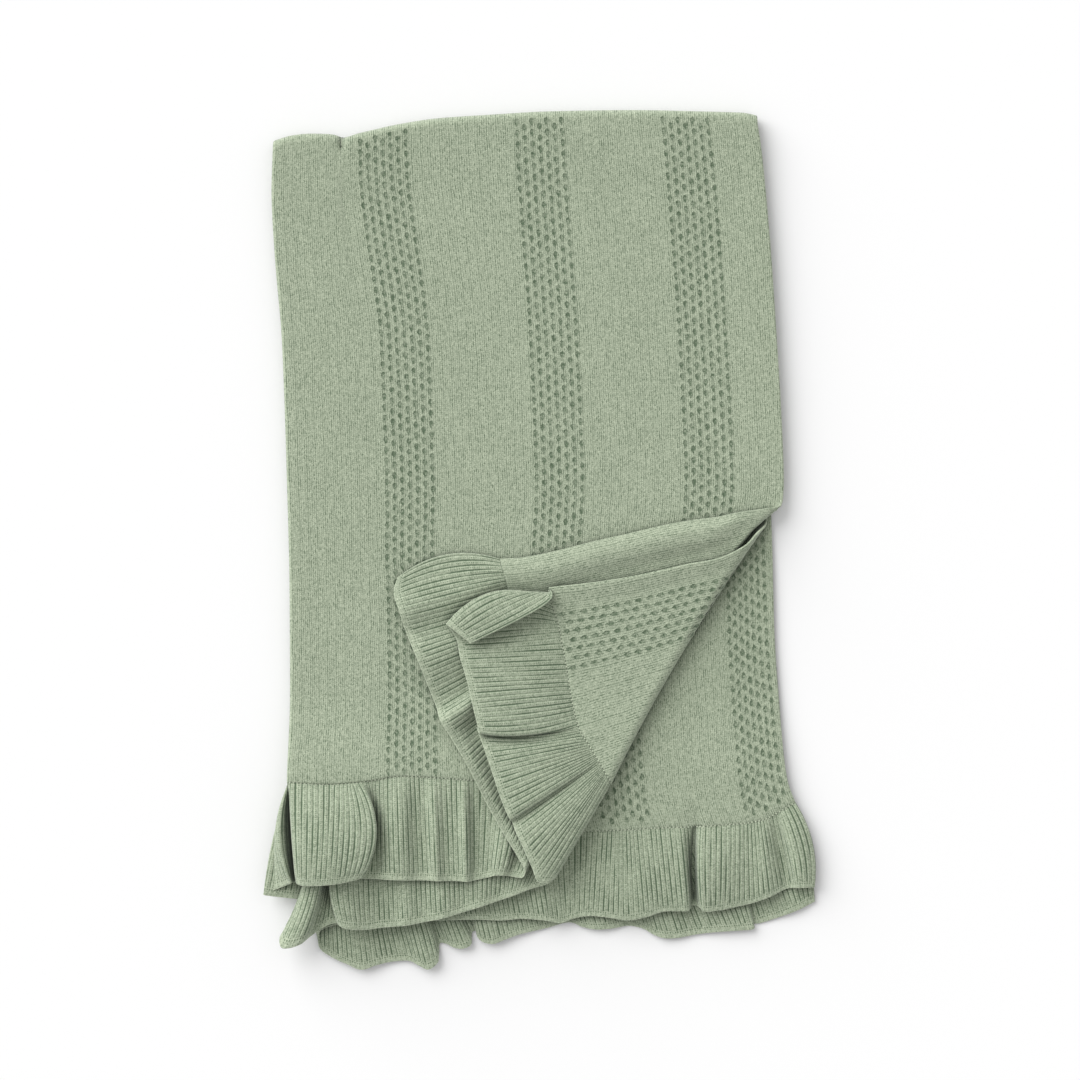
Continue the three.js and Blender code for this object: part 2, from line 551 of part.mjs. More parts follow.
// A gathered ruffle: every column runs from the seam to its place on the free edge.
function ruffle(front, rows) {
  const seam = seamLine(front);
  const edge = edgeCurve(rows);
  const at = (q, g) => {
    const [u, x, y, z, bow, lift] = edge(q);
    const start = seam(u).point;
    const dx = x - start[0];
    const dy = y - start[1];
    const size = Math.hypot(dx, dy);
    const early = Math.max(g, 0) ** bellyPower(u);
    const belly = 4 * early * (1 - early);
    const aside = (bow * belly) / size;
    const height = blend(start[2], z, g * (2 - g)) + lift * belly;
    return [start[0] + dx * g - dy * aside, start[1] + dy * g + dx * aside, height];
  };
  const flip = front ? 1 : -1;
  const normal = (q, g) => {
    const dq = minus(at(q + curveStep, g), at(q - curveStep, g));
    const dg = minus(at(q, g + curveStep), at(q, g - curveStep));
    const own = unit(cross(dq, dg)).map((value) => value * flip);
    return unit(mixed(seam(edge(q)[0]).normal, own, ease(0, seamBlend, g)));
  };
  const stops = edgeStops(front, rows);
  const face = (side) => depthRows.map((g) => stops.map((q) => (
    offset(at(q, g), normal(q, g), (side * ruffleThick) / 2)
  )));
  return closedSheet(face(flip), face(-flip));
}

const sageCotton = new THREE.MeshStandardMaterial({ color: 0xa9b99a, roughness: 0.95, metalness: 0 });
const blanket = new THREE.Group();
const pieces = {
  knit_panel: panel(),
  front_ruffle: ruffle(true, frontEdge),
  back_ruffle: ruffle(false, backEdge),
};

for (const [name, geometry] of Object.entries(pieces)) {
  const mesh = new THREE.Mesh(geometry, sageCotton);
  mesh.name = name;
  blanket.add(mesh);
}

export default blanket;
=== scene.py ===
import math

import bpy
import numpy as np
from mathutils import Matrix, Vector


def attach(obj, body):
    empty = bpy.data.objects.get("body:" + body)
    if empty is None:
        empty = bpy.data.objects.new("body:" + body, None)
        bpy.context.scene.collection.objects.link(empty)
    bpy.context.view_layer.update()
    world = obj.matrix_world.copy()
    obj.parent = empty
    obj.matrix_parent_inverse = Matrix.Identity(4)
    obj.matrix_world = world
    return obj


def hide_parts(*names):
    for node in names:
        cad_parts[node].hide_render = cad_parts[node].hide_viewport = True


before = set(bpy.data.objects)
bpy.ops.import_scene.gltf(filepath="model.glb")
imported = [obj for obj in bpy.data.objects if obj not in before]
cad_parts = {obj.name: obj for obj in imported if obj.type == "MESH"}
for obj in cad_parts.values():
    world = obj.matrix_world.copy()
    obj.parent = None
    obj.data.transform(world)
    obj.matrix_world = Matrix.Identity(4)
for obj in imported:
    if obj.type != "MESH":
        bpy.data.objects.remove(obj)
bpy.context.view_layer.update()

# The knitted panel
# One rectangle of fine cotton knit, about 68 x 87 cm, with lengthwise bands of small eyelets. It is
# folded lengthwise on the left and crosswise at the top, so four layers lie over each other: A and
# B in front, C and D behind. The near corner of A and B is turned back. Sizes are in millimetres.

panel_width = 682
panel_end_width = 670
panel_length = 870
half_length = panel_length / 2
fold_u = 332
knit_thick = 1.8
pair_half = 2.2
top_radius = 3.2
top_arc = math.pi * top_radius / 2
metres = 0.001

# Edges of the layers: share of the way from the crosswise fold to the seam, then x in mm.
front_left = [
    (0, -170.3), (0.07, -171.2), (0.165, -169.3), (0.307, -164.5), (0.535, -161.2),
    (0.693, -159.6), (0.873, -159.3), (1, -160.3),
]
right_a = [
    (0, 140.3), (0.04, 142.9), (0.183, 148.7), (0.314, 152.5), (0.442, 155.8), (0.544, 157.4),
    (0.593, 155.8), (0.62, 153.8), (0.655, 152.5), (0.7, 155.1), (0.747, 157.1), (0.8, 158),
    (0.85, 159.3), (0.908, 160), (0.96, 161.6), (1, 165.1),
]
right_b = [
    (0, 138), (0.3, 143.2), (0.58, 148), (0.63, 147.1), (0.668, 146.7), (0.697, 141.9),
    (0.73, 140.8), (0.794, 146.7), (0.857, 153.1), (0.919, 161.1), (1, 174.2),
]
back_left = [
    (0, -170.3), (0.3, -161.9), (0.6, -157.4), (0.85, -154.2), (1, -149.6),
]
right_c = [
    (0, 138), (0.3, 144.5), (0.62, 150.3), (0.756, 151.9), (0.85, 154.8), (0.93, 157.7),
    (0.97, 160.3), (1, 165.1),
]
right_d = [
    (0, 140.3), (0.3, 143.2), (0.6, 145.8), (0.85, 148.3), (1, 158.7),
]

# Lines of the crosswise fold and of the seams: share of the way across, then y in mm.
top_line = [
    (0, 258.6), (0.03, 261.5), (0.07, 262.8), (0.115, 262.4), (0.141, 260.1), (0.165, 262.5),
    (0.2, 265.1), (0.25, 268.6), (0.33, 272.5), (0.45, 275.1), (0.57, 277.2), (0.74, 278),
    (0.9, 277), (0.97, 276.3), (1, 274.4),
]
seam_a = [
    (0, -156.1), (0.07, -157.2), (0.15, -155.2), (0.22, -151.9), (0.3, -153.2), (0.4, -155.4),
    (0.6, -157.4), (1, -156.7),
]
seam_b = [
    (0, -156.1), (0.03, -161.2), (0.1, -172.2), (0.2, -178.7), (0.3, -175.4), (0.47, -164.5),
    (0.6, -159.3), (0.7, -158.3), (0.76, -158.3), (0.8, -154.5), (0.861, -145.4), (0.9, -140),
    (0.941, -134.8), (0.975, -132.5), (1, -129),
]
seam_c = [
    (0, -203.8), (0.1, -197.4), (0.3, -192.2), (0.54, -188.3), (0.61, -187.7), (0.7, -186.1),
    (0.77, -185.4), (0.86, -183.6), (0.92, -181.2), (0.97, -174.8), (1, -169.6),
]
seam_d = [
    (0, -203.8), (0.1, -210.3), (0.25, -211.6), (0.45, -197.4), (0.6, -188.3), (0.8, -190.9),
    (0.93, -181.9), (1, -171.6),
]


def follow(table, at):
    """A smooth line through the rows of a table, which never overshoots them."""
    places, values = np.array(table, float).T
    at = np.asarray(at, float)
    steps = np.diff(places)
    slopes = np.diff(values) / steps
    before, after = slopes[:-1], slopes[1:]
    same_way = before * after > 0
    middle = 2 * before * after / np.where(same_way, before + after, 1)
    tangents = np.concatenate([slopes[:1], np.where(same_way, middle, 0), slopes[-1:]])
    row = np.clip(np.searchsorted(places, at, "left") - 1, 0, len(steps) - 1)
    step = steps[row]
    share = (at - places[row]) / step
    f = np.clip(share, 0, 1)
    line = (2 * f**3 - 3 * f**2 + 1) * values[row] + (3 * f**2 - 2 * f**3) * values[row + 1]
    line = line + step * ((f**3 - 2 * f**2 + f) * tangents[row] + (f**3 - f**2) * tangents[row + 1])
    outside = np.where(share > 1, tangents[row + 1], tangents[row])
    return line + outside * step * (share - f)


def ease(start, end, at):
    """0 before the start, 1 after the end and a soft S between them, either way round."""
    f = np.clip((np.asarray(at, float) - start) / (end - start), 0, 1)
    return f * f * (3 - 2 * f)


def within(limits, at):
    """1 between two limits and 0 outside them, with a soft S over the width of each limit."""
    return ease(*limits[0], at) * ease(*limits[1], at)


def blend(start, end, f):
    return start + (end - start) * f


hem_rises = (-97, -158)
top_swell = 1.2
top_swell_end = 0.12


def hem_rise(y):
    """The near ends of the layers lie higher, over the gathers beneath."""
    return ease(*hem_rises, y)


def top_rise(t):
    """The front layers lie higher beside the crosswise fold."""
    return top_swell * (1 - ease(0, top_swell_end, t))


layers = {
    "A": dict(left=front_left, right=right_a, seam=seam_a, spread=1,
              level=lambda t, y: 8.7 + top_rise(t) + 5.3 * hem_rise(y)),
    "B": dict(left=front_left, right=right_b, seam=seam_b, spread=1.12,
              level=lambda t, y: 6.1 + top_rise(t) + 3.9 * hem_rise(y)),
    "C": dict(left=back_left, right=right_c, seam=seam_c, spread=1,
              level=lambda t, y: 3.5 + 2.5 * hem_rise(y)),
    "D": dict(left=back_left, right=right_d, seam=seam_d, spread=1,
              level=lambda t, y: 1.2 + 0 * y),
}

# Lines over which the corner is turned back: a point, the direction, the radius of the turn, the
# rise of the flap over its layer and the bow of the line.
turns = {
    "A": dict(at=(69.9, -87.8), along=(0.603, 0.797), radius=2.2, rise=3,
              bow=lambda a: 6 * (1 - ease(112, 147, a))),
    "B": dict(at=(84, -81.3), along=(0.505, 0.863), radius=4.6, rise=8.2,
              bow=lambda a: np.maximum(-5, 3 * (1 - (a / 85) ** 2)) - 3.5 * ease(104, 120, a)),
}
flap_on_flap = 2.8
flap_climbs = (6, 28)


def turn_distance(turn, x, y):
    """How far a point lies past the line over which its layer is turned back."""
    dx = x - turn["at"][0]
    dy = y - turn["at"][1]
    along = dx * turn["along"][0] + dy * turn["along"][1]
    return dx * turn["along"][1] - dy * turn["along"][0] + turn["bow"](along)


def flap_level(name, x, y):
    """Height of a turned-back flap: that of B climbs on to that of A behind its own fold."""
    first = layers["A"]["level"](1, y) + turns["A"]["rise"]
    if name == "A":
        return first
    inside = -turn_distance(turns["B"], x, y)
    own = layers["B"]["level"](1, y) + turns["B"]["rise"]
    return blend(own, first + flap_on_flap, ease(*flap_climbs, inside))


def turned_back(name, x, y, z):
    """Rolls the points past the line over the turn and lays them back on the blanket."""
    turn = turns[name]
    beyond = np.maximum(turn_distance(turn, x, y), 0)
    angle = np.minimum(beyond / turn["radius"], math.pi)
    straight = np.maximum(0, beyond - math.pi * turn["radius"])
    reach = turn["radius"] * np.sin(angle) - straight
    nx = x + turn["along"][1] * (reach - beyond)
    ny = y - turn["along"][0] * (reach - beyond)
    return nx, ny, blend(z, flap_level(name, nx, ny), (1 - np.cos(angle)) / 2)


def lengthwise(v):
    """Shares of the way from the crosswise fold to the seam, and whether v is in front."""
    from_top = np.abs(v - half_length)
    return np.maximum(0, from_top - top_arc) / (half_length - top_arc), v < half_length


def spread_power(layer, t):
    return blend(1, layer["spread"], ease(0, 0.5, t))


def top_at(share):
    return follow(top_line, share) - top_radius - pair_half


def width_at(v):
    return blend(panel_width, panel_end_width, v / panel_length)


def half_step(front, t):
    """Half the height between the two layers that the lengthwise fold joins."""
    outer, inner = (layers["A"], layers["B"]) if front else (layers["D"], layers["C"])
    edge_y = blend(top_at(0), follow(outer["seam"], 0), t)
    return np.abs(outer["level"](t, edge_y) - inner["level"](t, edge_y)) / 2, edge_y


# The bands of A and C lie a little aside of an even spread: the most, as a share of the layer's
# width, and where it is so, across and along the layer.
band_pull = {
    "A": dict(most=-0.021, across=((0.13, 0.16), (0.5, 0.25)), along=(0.33, 0)),
    "C": dict(most=0.018, across=((0.45, 0.6), (1, 0.85)), along=(0.3, 0.6)),
}


def drawn_aside(name, share, t):
    if name not in band_pull:
        return 0
    pull = band_pull[name]
    return pull["most"] * within(pull["across"], share) * ease(*pull["along"], t)


# The free edges of the turned-back corner curl up, and the flap of A swells beside its edge before
# it goes under that of B.
edge_curl = {"A": 1.2, "B": 2.4}
curl_width = 13
flap_swell = 4.2
swell_lies = ((0, 9), (24, 13))
turn_cleared = (4, 25)


def corner_rise(name, inward, beyond):
    """Height that the turned-back corner gains at a distance from its free edge and past the turn."""
    rise = edge_curl[name] * ease(curl_width, 0, inward)
    if name == "A":
        rise = rise + flap_swell * within(swell_lies, inward)
    return rise * ease(*turn_cleared, beyond)


# Layer C dips where a valley of its ruffle starts, and the dip leans as it runs up the panel.
trough_u = 595
trough_lean = 0.3
trough_half_width = 2.2
trough_depth = 2.8
trough_runs_out = (18, 3)


def trough(u, from_seam):
    aside = (u - trough_u - trough_lean * from_seam) / trough_half_width
    return trough_depth * np.exp(-(aside**2)) * ease(*trough_runs_out, from_seam)


def layer_point(name, u, v):
    """Middle of the knit of one layer: laid flat, then turned back and wrapped over the folds."""
    front = name in "AB"
    layer = layers[name]
    t, _ = lengthwise(v)
    half, edge_y = half_step(front, t)
    wrap = math.pi * half / 2
    across = u - fold_u
    width = fold_u if name in "AD" else width_at(v) - fold_u
    s = np.maximum(0, np.abs(across) - wrap) / (width - wrap)
    turn = np.clip(across / wrap, -1, 1) * math.pi / 2
    side = -np.sin(turn) * half
    share = s ** spread_power(layer, t)
    share = share + drawn_aside(name, share, t)
    x = blend(follow(layer["left"], t), follow(layer["right"], t), share) - np.cos(turn) * half
    y = blend(top_at(share), follow(layer["seam"], s), t)
    outer, inner = (layers["A"], layers["B"]) if front else (layers["D"], layers["C"])
    middle = (outer["level"](t, edge_y) + inner["level"](t, edge_y)) / 2
    z = np.where(s > 0, layer["level"](t, y), middle + (side if front else -side))
    if name == "C":
        z = z - trough(u, panel_length - v)
    if front:
        beyond = turn_distance(turns[name], x, y)
        bx, by, bz = turned_back(name, x, y, z)
        bz = bz + corner_rise(name, (1 - s) * width, beyond)
        flat = s <= 0
        x, y, z = np.where(flat, x, bx), np.where(flat, y, by), np.where(flat, z, bz)
    angle = (v - half_length) / top_arc * math.pi / 2
    r = top_radius + side
    over_top = np.abs(v - half_length) < top_arc
    y = np.where(over_top, y + r * np.cos(angle), y)
    z = np.where(over_top, pair_half + top_radius - r * np.sin(angle), z)
    return np.stack([x, y, z], -1)


def panel_point(u, v):
    """Middle of the knit, folded as it lies, at u across and v along the flat panel."""
    u, v = np.broadcast_arrays(np.asarray(u, float), np.asarray(v, float))
    point = np.zeros(u.shape + (3,))
    front = v < half_length
    left = u < fold_u
    parts = {"A": front & left, "B": front & ~left, "C": ~front & ~left, "D": ~front & left}
    for name, here in parts.items():
        point[here] = layer_point(name, u[here], v[here])
    return point


def unit(vectors):
    return vectors / np.maximum(np.linalg.norm(vectors, axis=-1, keepdims=True), 1e-9)


def panel_normal(u, v):
    """Outward from the right side of the knit."""
    step = 0.05
    du = panel_point(u + step, v) - panel_point(u - step, v)
    dv = panel_point(u, v + step) - panel_point(u, v - step)
    return unit(np.cross(dv, du))


search_steps = 30
search_end = 1.4


def turn_share(name, v):
    """Share of the way across at which the turned fold crosses each row v."""
    layer = layers[name]
    t, _ = lengthwise(v)
    low, high = np.zeros_like(v), np.full_like(v, search_end)
    for _ in range(search_steps):
        s = (low + high) / 2
        x = blend(follow(layer["left"], t), follow(layer["right"], t), s ** spread_power(layer, t))
        y = blend(follow(top_line, np.minimum(1, s)), follow(layer["seam"], np.minimum(1, s)), t)
        beyond = turn_distance(turns[name], x, y) > 0
        low, high = np.where(beyond, low, s), np.where(beyond, s, high)
    return low


even_cells = 46
arc_cells = 12
flap_cells = 24
wrap_cells = 8
even_share = 0.62
latest_start = 0.955
arc_room = 1.35
arc_narrows = (0.2, 1)
least_step = 1e-4
pivots = {"A": 0.56, "B": 0.63}
rim = 0.9
rim_steps = [0, 0.08, 0.28, 0.9]


def half_columns(name, v):
    """Shares of the way across at which the columns of the mesh stand, closer over the turned fold."""
    t, front = lengthwise(v)
    even = np.full_like(v, even_share)
    arc = (1 - even) / 2
    pivot = pivots[name]
    width = np.full_like(v, fold_u) if name == "A" else width_at(v) - fold_u
    start = np.minimum(turn_share(name, v), blend(even, latest_start, ease(0, pivot, t)))
    narrow = np.minimum(math.pi * turns[name]["radius"] * arc_room / width, (1 - start) / 2)
    narrow = blend((1 - start) / 2, narrow, ease(*arc_narrows, t / pivot))
    start, arc = np.where(front, start, even), np.where(front, narrow, arc)
    places = [start * k / even_cells for k in range(even_cells)]
    places += [start + arc * k / arc_cells for k in range(arc_cells)]
    places += [start + arc + (1 - start - arc) * k / flap_cells for k in range(flap_cells)]
    last = [1 - d / width for d in reversed(rim_steps)]
    places = [np.minimum(p, last[0] - least_step * (len(places) - k)) for k, p in enumerate(places)]
    return np.stack([*places, *last], -1)


def panel_columns(v):
    """Places across the panel of every column of the mesh, one line for each row v."""
    half, _ = half_step(True, lengthwise(v)[0])
    back_half, _ = half_step(False, lengthwise(v)[0])
    wrap = (math.pi * np.where(v < half_length, half, back_half) / 2)[:, None]
    outer = fold_u - wrap - half_columns("A", v) * (fold_u - wrap)
    inner = fold_u + wrap + half_columns("B", v) * (width_at(v)[:, None] - fold_u - wrap)
    turning = fold_u - wrap + 2 * wrap * np.arange(1, wrap_cells) / wrap_cells
    return np.concatenate([outer[:, ::-1], turning, inner], -1)


def rounded(distance, radius):
    """How full a rounded edge is at a distance from it, from 0 to 1."""
    return np.sqrt(np.maximum(0, 1 - (1 - np.minimum(distance / radius, 1)) ** 2))


# Stretches of mesh rows: from, to and step along the panel. The rows are closer where it bends more.
row_stretches = [
    (3.2, 262, 2.9), (266, half_length - top_arc - 2, 5.2),
    (half_length + top_arc + 5, panel_length - 60, 6), (panel_length - 56, panel_length - 3, 3.4),
]
rows_over_top = 13


def panel_rows():
    """Places along the panel of the rows of the mesh."""
    start = np.array(rim_steps)
    over = half_length + top_arc * np.linspace(-1, 1, rows_over_top)
    stretches = [np.arange(*stretch) for stretch in row_stretches]
    return np.sort(np.concatenate([start, over, panel_length - start, *stretches]))


def closed_cloth(name, middle, across, over, under, uv_over, uv_under, flip=False):
    """A closed sheet from a grid of middle points: its two faces share the points of the border."""
    rows, cols = middle.shape[:2]
    top_index = np.arange(rows * cols).reshape(rows, cols)
    inside = np.zeros((rows, cols), bool)
    inside[1:-1, 1:-1] = True
    low_index = top_index.copy()
    low_index[inside] = rows * cols + np.arange(inside.sum())
    points = np.concatenate([
        (middle + across * over[..., None]).reshape(-1, 3),
        (middle - across * under[..., None])[inside],
    ])

    def corners(index):
        a, b = index[:-1, :-1], index[1:, :-1]
        c, d = index[1:, 1:], index[:-1, 1:]
        return np.stack([a, b, c, d], -1).reshape(-1, 4)

    up, down = corners(top_index), corners(low_index)[:, ::-1]
    if flip:
        up, down = up[:, ::-1], down[:, ::-1]
    mesh = bpy.data.meshes.new(name)
    mesh.from_pydata((points * metres).tolist(), [], np.concatenate([up, down]).tolist())
    flat_over, flat_under = uv_over.reshape(-1, 2), uv_under.reshape(-1, 2)
    uvs = np.concatenate([flat_over[up.ravel()], flat_under[up[:, ::-1].ravel()]])
    layer = mesh.uv_layers.new(name="knit")
    layer.data.foreach_set("uv", (uvs * metres).ravel())
    mesh.polygons.foreach_set("material_index", np.repeat([0, 1], len(up)))
    mesh.shade_smooth()
    piece = bpy.data.objects.new(name, mesh)
    bpy.context.scene.collection.objects.link(piece)
    return piece, inside


crease_top = (-127.1, 262.5)
crease_foot = (-130.6, 243)
crease_depth = 1.7
crease_half_width = 1.3
bank_height = 0.6
bank_aside = 3.6
bank_half_width = 2.4
crease_fades = (0.45, 1.2)
wide_swell = 0.22
long_swell = 0.16
wave_across = (23, 57)
wave_along = (41, 29)
upper_from = (8, 9)


def unevenness(x, y):
    """The upper layers lie a little uneven, with one short crease at the crosswise fold."""
    bend = 0.7 * np.sin(y / wave_along[0])
    swell = wide_swell * (1 + np.sin(x / wave_across[0] + bend))
    swell = swell + long_swell * (1 + np.sin(y / wave_along[1] + x / wave_across[1]))
    down = (crease_top[1] - y) / (crease_top[1] - crease_foot[1])
    aside = x - blend(crease_top[0], crease_foot[0], down)
    crease = crease_depth * np.exp(-((aside / crease_half_width) ** 2))
    bank = bank_height * np.exp(-(((aside - bank_aside) / bank_half_width) ** 2))
    return swell - (crease - bank) * (1 - ease(*crease_fades, down))


def laid_uneven(points, u):
    """Lifts points of the upper layers by their unevenness."""
    upper = ease(*upper_from, points[..., 2]) * (u < fold_u)
    points[..., 2] += upper * unevenness(points[..., 0], points[..., 1])
    return points


v_rows = panel_rows()
u_columns = panel_columns(v_rows)
v_grid = np.repeat(v_rows[:, None], u_columns.shape[1], 1)
panel_middle = laid_uneven(panel_point(u_columns, v_grid), u_columns)
panel_across = panel_normal(u_columns, v_grid)
from_edge = np.minimum.reduce([
    u_columns, width_at(v_grid) - u_columns, v_grid, panel_length - v_grid,
])
full = rounded(np.maximum(from_edge, 0), rim) * knit_thick / 2
flat_uv = np.stack([u_columns, v_grid], -1)
panel, _ = closed_cloth("folded_knit_panel", panel_middle, panel_across, full, full, flat_uv, flat_uv)


def linear(code):
    """An sRGB hex value as a linear colour."""
    parts = [int(code[k : k + 2], 16) / 255 for k in (1, 3, 5)]
    return [p / 12.92 if p <= 0.04045 else ((p + 0.055) / 1.055) ** 2.4 for p in parts] + [1]


def add(tree, kind, sockets=(), **settings):
    """Adds a node. Sockets gives its inputs, in order or by name, a value or another node's output."""
    new = tree.nodes.new(kind)
    for name, value in settings.items():
        setattr(new, name, value)
    for place, value in sockets.items() if isinstance(sockets, dict) else enumerate(sockets):
        if isinstance(value, bpy.types.NodeSocket):
            tree.links.new(value, new.inputs[place])
        else:
            new.inputs[place].default_value = value
    return new.outputs


def new_material(name):
    material = bpy.data.materials.new(name)
    material.use_nodes = True
    material.node_tree.nodes.clear()
    return material, material.node_tree


# The yarn's tone runs from the light to the shade colour; the dark end also carries the painted shade of
# grooves, gaps and eyelet holes.
yarn_light = "#BBC5AC"
yarn_shade = "#55674F"
painted_fold_shade_colour = "#2F3B2C"
# Painted shade: an ambient occlusion node with this reach in mm darkens the yarn towards the deep colour
# inside narrow folds.
painted_fold_shade_reach = 7
painted_fold_shade_range = (0.85, 0.2)


def yarn_surface(tree, colour, height, relief):
    """Matt cotton yarn with a soft bloom of fibre ends, and painted shade inside narrow folds."""
    reach = {"Distance": painted_fold_shade_reach * metres}
    open_share = add(tree, "ShaderNodeAmbientOcclusion", reach, samples=4)["AO"]
    closed = (open_share, *painted_fold_shade_range)
    closed = add(tree, "ShaderNodeMapRange", closed, interpolation_type="SMOOTHSTEP")[0]
    ends = {0: closed, 6: colour, 7: linear(painted_fold_shade_colour)}
    colour = add(tree, "ShaderNodeMix", ends, data_type="RGBA")[2]
    bump = {"Strength": 0.7, "Distance": relief * metres, "Height": height}
    normal = add(tree, "ShaderNodeBump", bump)[0]
    surface = add(tree, "ShaderNodeBsdfPrincipled", {
        "Base Color": colour, "Roughness": 0.92, "Specular IOR Level": 0.2,
        "Sheen Weight": 0.25, "Sheen Roughness": 0.6, "Normal": normal,
    })[0]
    add(tree, "ShaderNodeOutputMaterial", {"Surface": surface})


def chance(tree, x, y, seed):
    """One random share for each cell of whole numbers."""
    column = add(tree, "ShaderNodeMath", (x,), operation="FLOOR")[0]
    row = add(tree, "ShaderNodeMath", (y,), operation="FLOOR")[0]
    cell = add(tree, "ShaderNodeCombineXYZ", (column, row, seed))[0]
    return add(tree, "ShaderNodeTexWhiteNoise", {"Vector": cell}, noise_dimensions="3D")[0]


def off_middle(tree, at):
    """Distance from the middle of each column of stitches, a half at its sides."""
    share = add(tree, "ShaderNodeMath", (at,), operation="FRACT")[0]
    aside = add(tree, "ShaderNodeMath", (share, 0.5), operation="SUBTRACT")[0]
    return add(tree, "ShaderNodeMath", (aside,), operation="ABSOLUTE")[0]


def arches(tree, at):
    """Round arches side by side, one for each whole number."""
    turn = add(tree, "ShaderNodeMath", (at, math.pi), operation="MULTIPLY")[0]
    wave = add(tree, "ShaderNodeMath", (turn,), operation="SINE")[0]
    return add(tree, "ShaderNodeMath", (wave,), operation="ABSOLUTE")[0]


def weighed(tree, total, parts):
    """Adds to a total each part by its weight."""
    for part, weight in parts:
        total = add(tree, "ShaderNodeMath", (part, weight, total), operation="MULTIPLY_ADD")[0]
    return total


# Streaks of about 9 mm along the wales, clouds of about 42 mm and bunches of fibre of 0.7 mm.
streaks_per_metre = 110.0
clouds_per_metre = 24.0
fibres_per_metre = 1350.0
stain_offset = 0.35


def dyed_yarn(tree, wales, v, shade):
    """Yarn colour from a share of shade, with the faint streaks and clouds of a dyed cotton knit."""
    column = add(tree, "ShaderNodeMath", (wales,), operation="FLOOR")[0]
    along = add(tree, "ShaderNodeMath", (v, streaks_per_metre), operation="MULTIPLY")[0]
    streak_at = add(tree, "ShaderNodeCombineXYZ", (column, along))[0]
    streak = add(tree, "ShaderNodeTexNoise", {"Vector": streak_at, "Scale": 1.0, "Detail": 1.0})[0]
    place = add(tree, "ShaderNodeTexCoord")["Object"]
    clouds = {"Vector": place, "Scale": clouds_per_metre, "Detail": 2.0}
    cloud = add(tree, "ShaderNodeTexNoise", clouds)[0]
    ply = add(tree, "ShaderNodeTexVoronoi", {"Vector": place, "Scale": fibres_per_metre})["Color"]
    total = weighed(tree, shade, ((streak, 0.1), (cloud, 0.08), (ply, 0.6)))
    share = add(tree, "ShaderNodeMath", (total, stain_offset), operation="SUBTRACT")[0]
    ends = {0: share, 6: linear(yarn_light), 7: linear(yarn_shade)}
    return add(tree, "ShaderNodeMix", ends, data_type="RGBA")[2]


# The wales drift a little aside over about 17 mm. Open gaps between their stitches are rare, and
# the power says how rare; the gaps and the grooves are darkened with painted shade.
wale_pitch = 1.45
course_pitch = 1.3
drifts_per_metre = 60.0
knit_relief = 0.25
knit_shade = 0.31
stitch_slope = {True: 0.9, False: 0.35}
course_stagger = 0.6
groove_from = 0.3
groove_painted_shade = 0.06
groove_every = 4.0
fourth_groove_painted_shade = 0.3
gap_power = 5.0
gap_painted_shade = 1.75


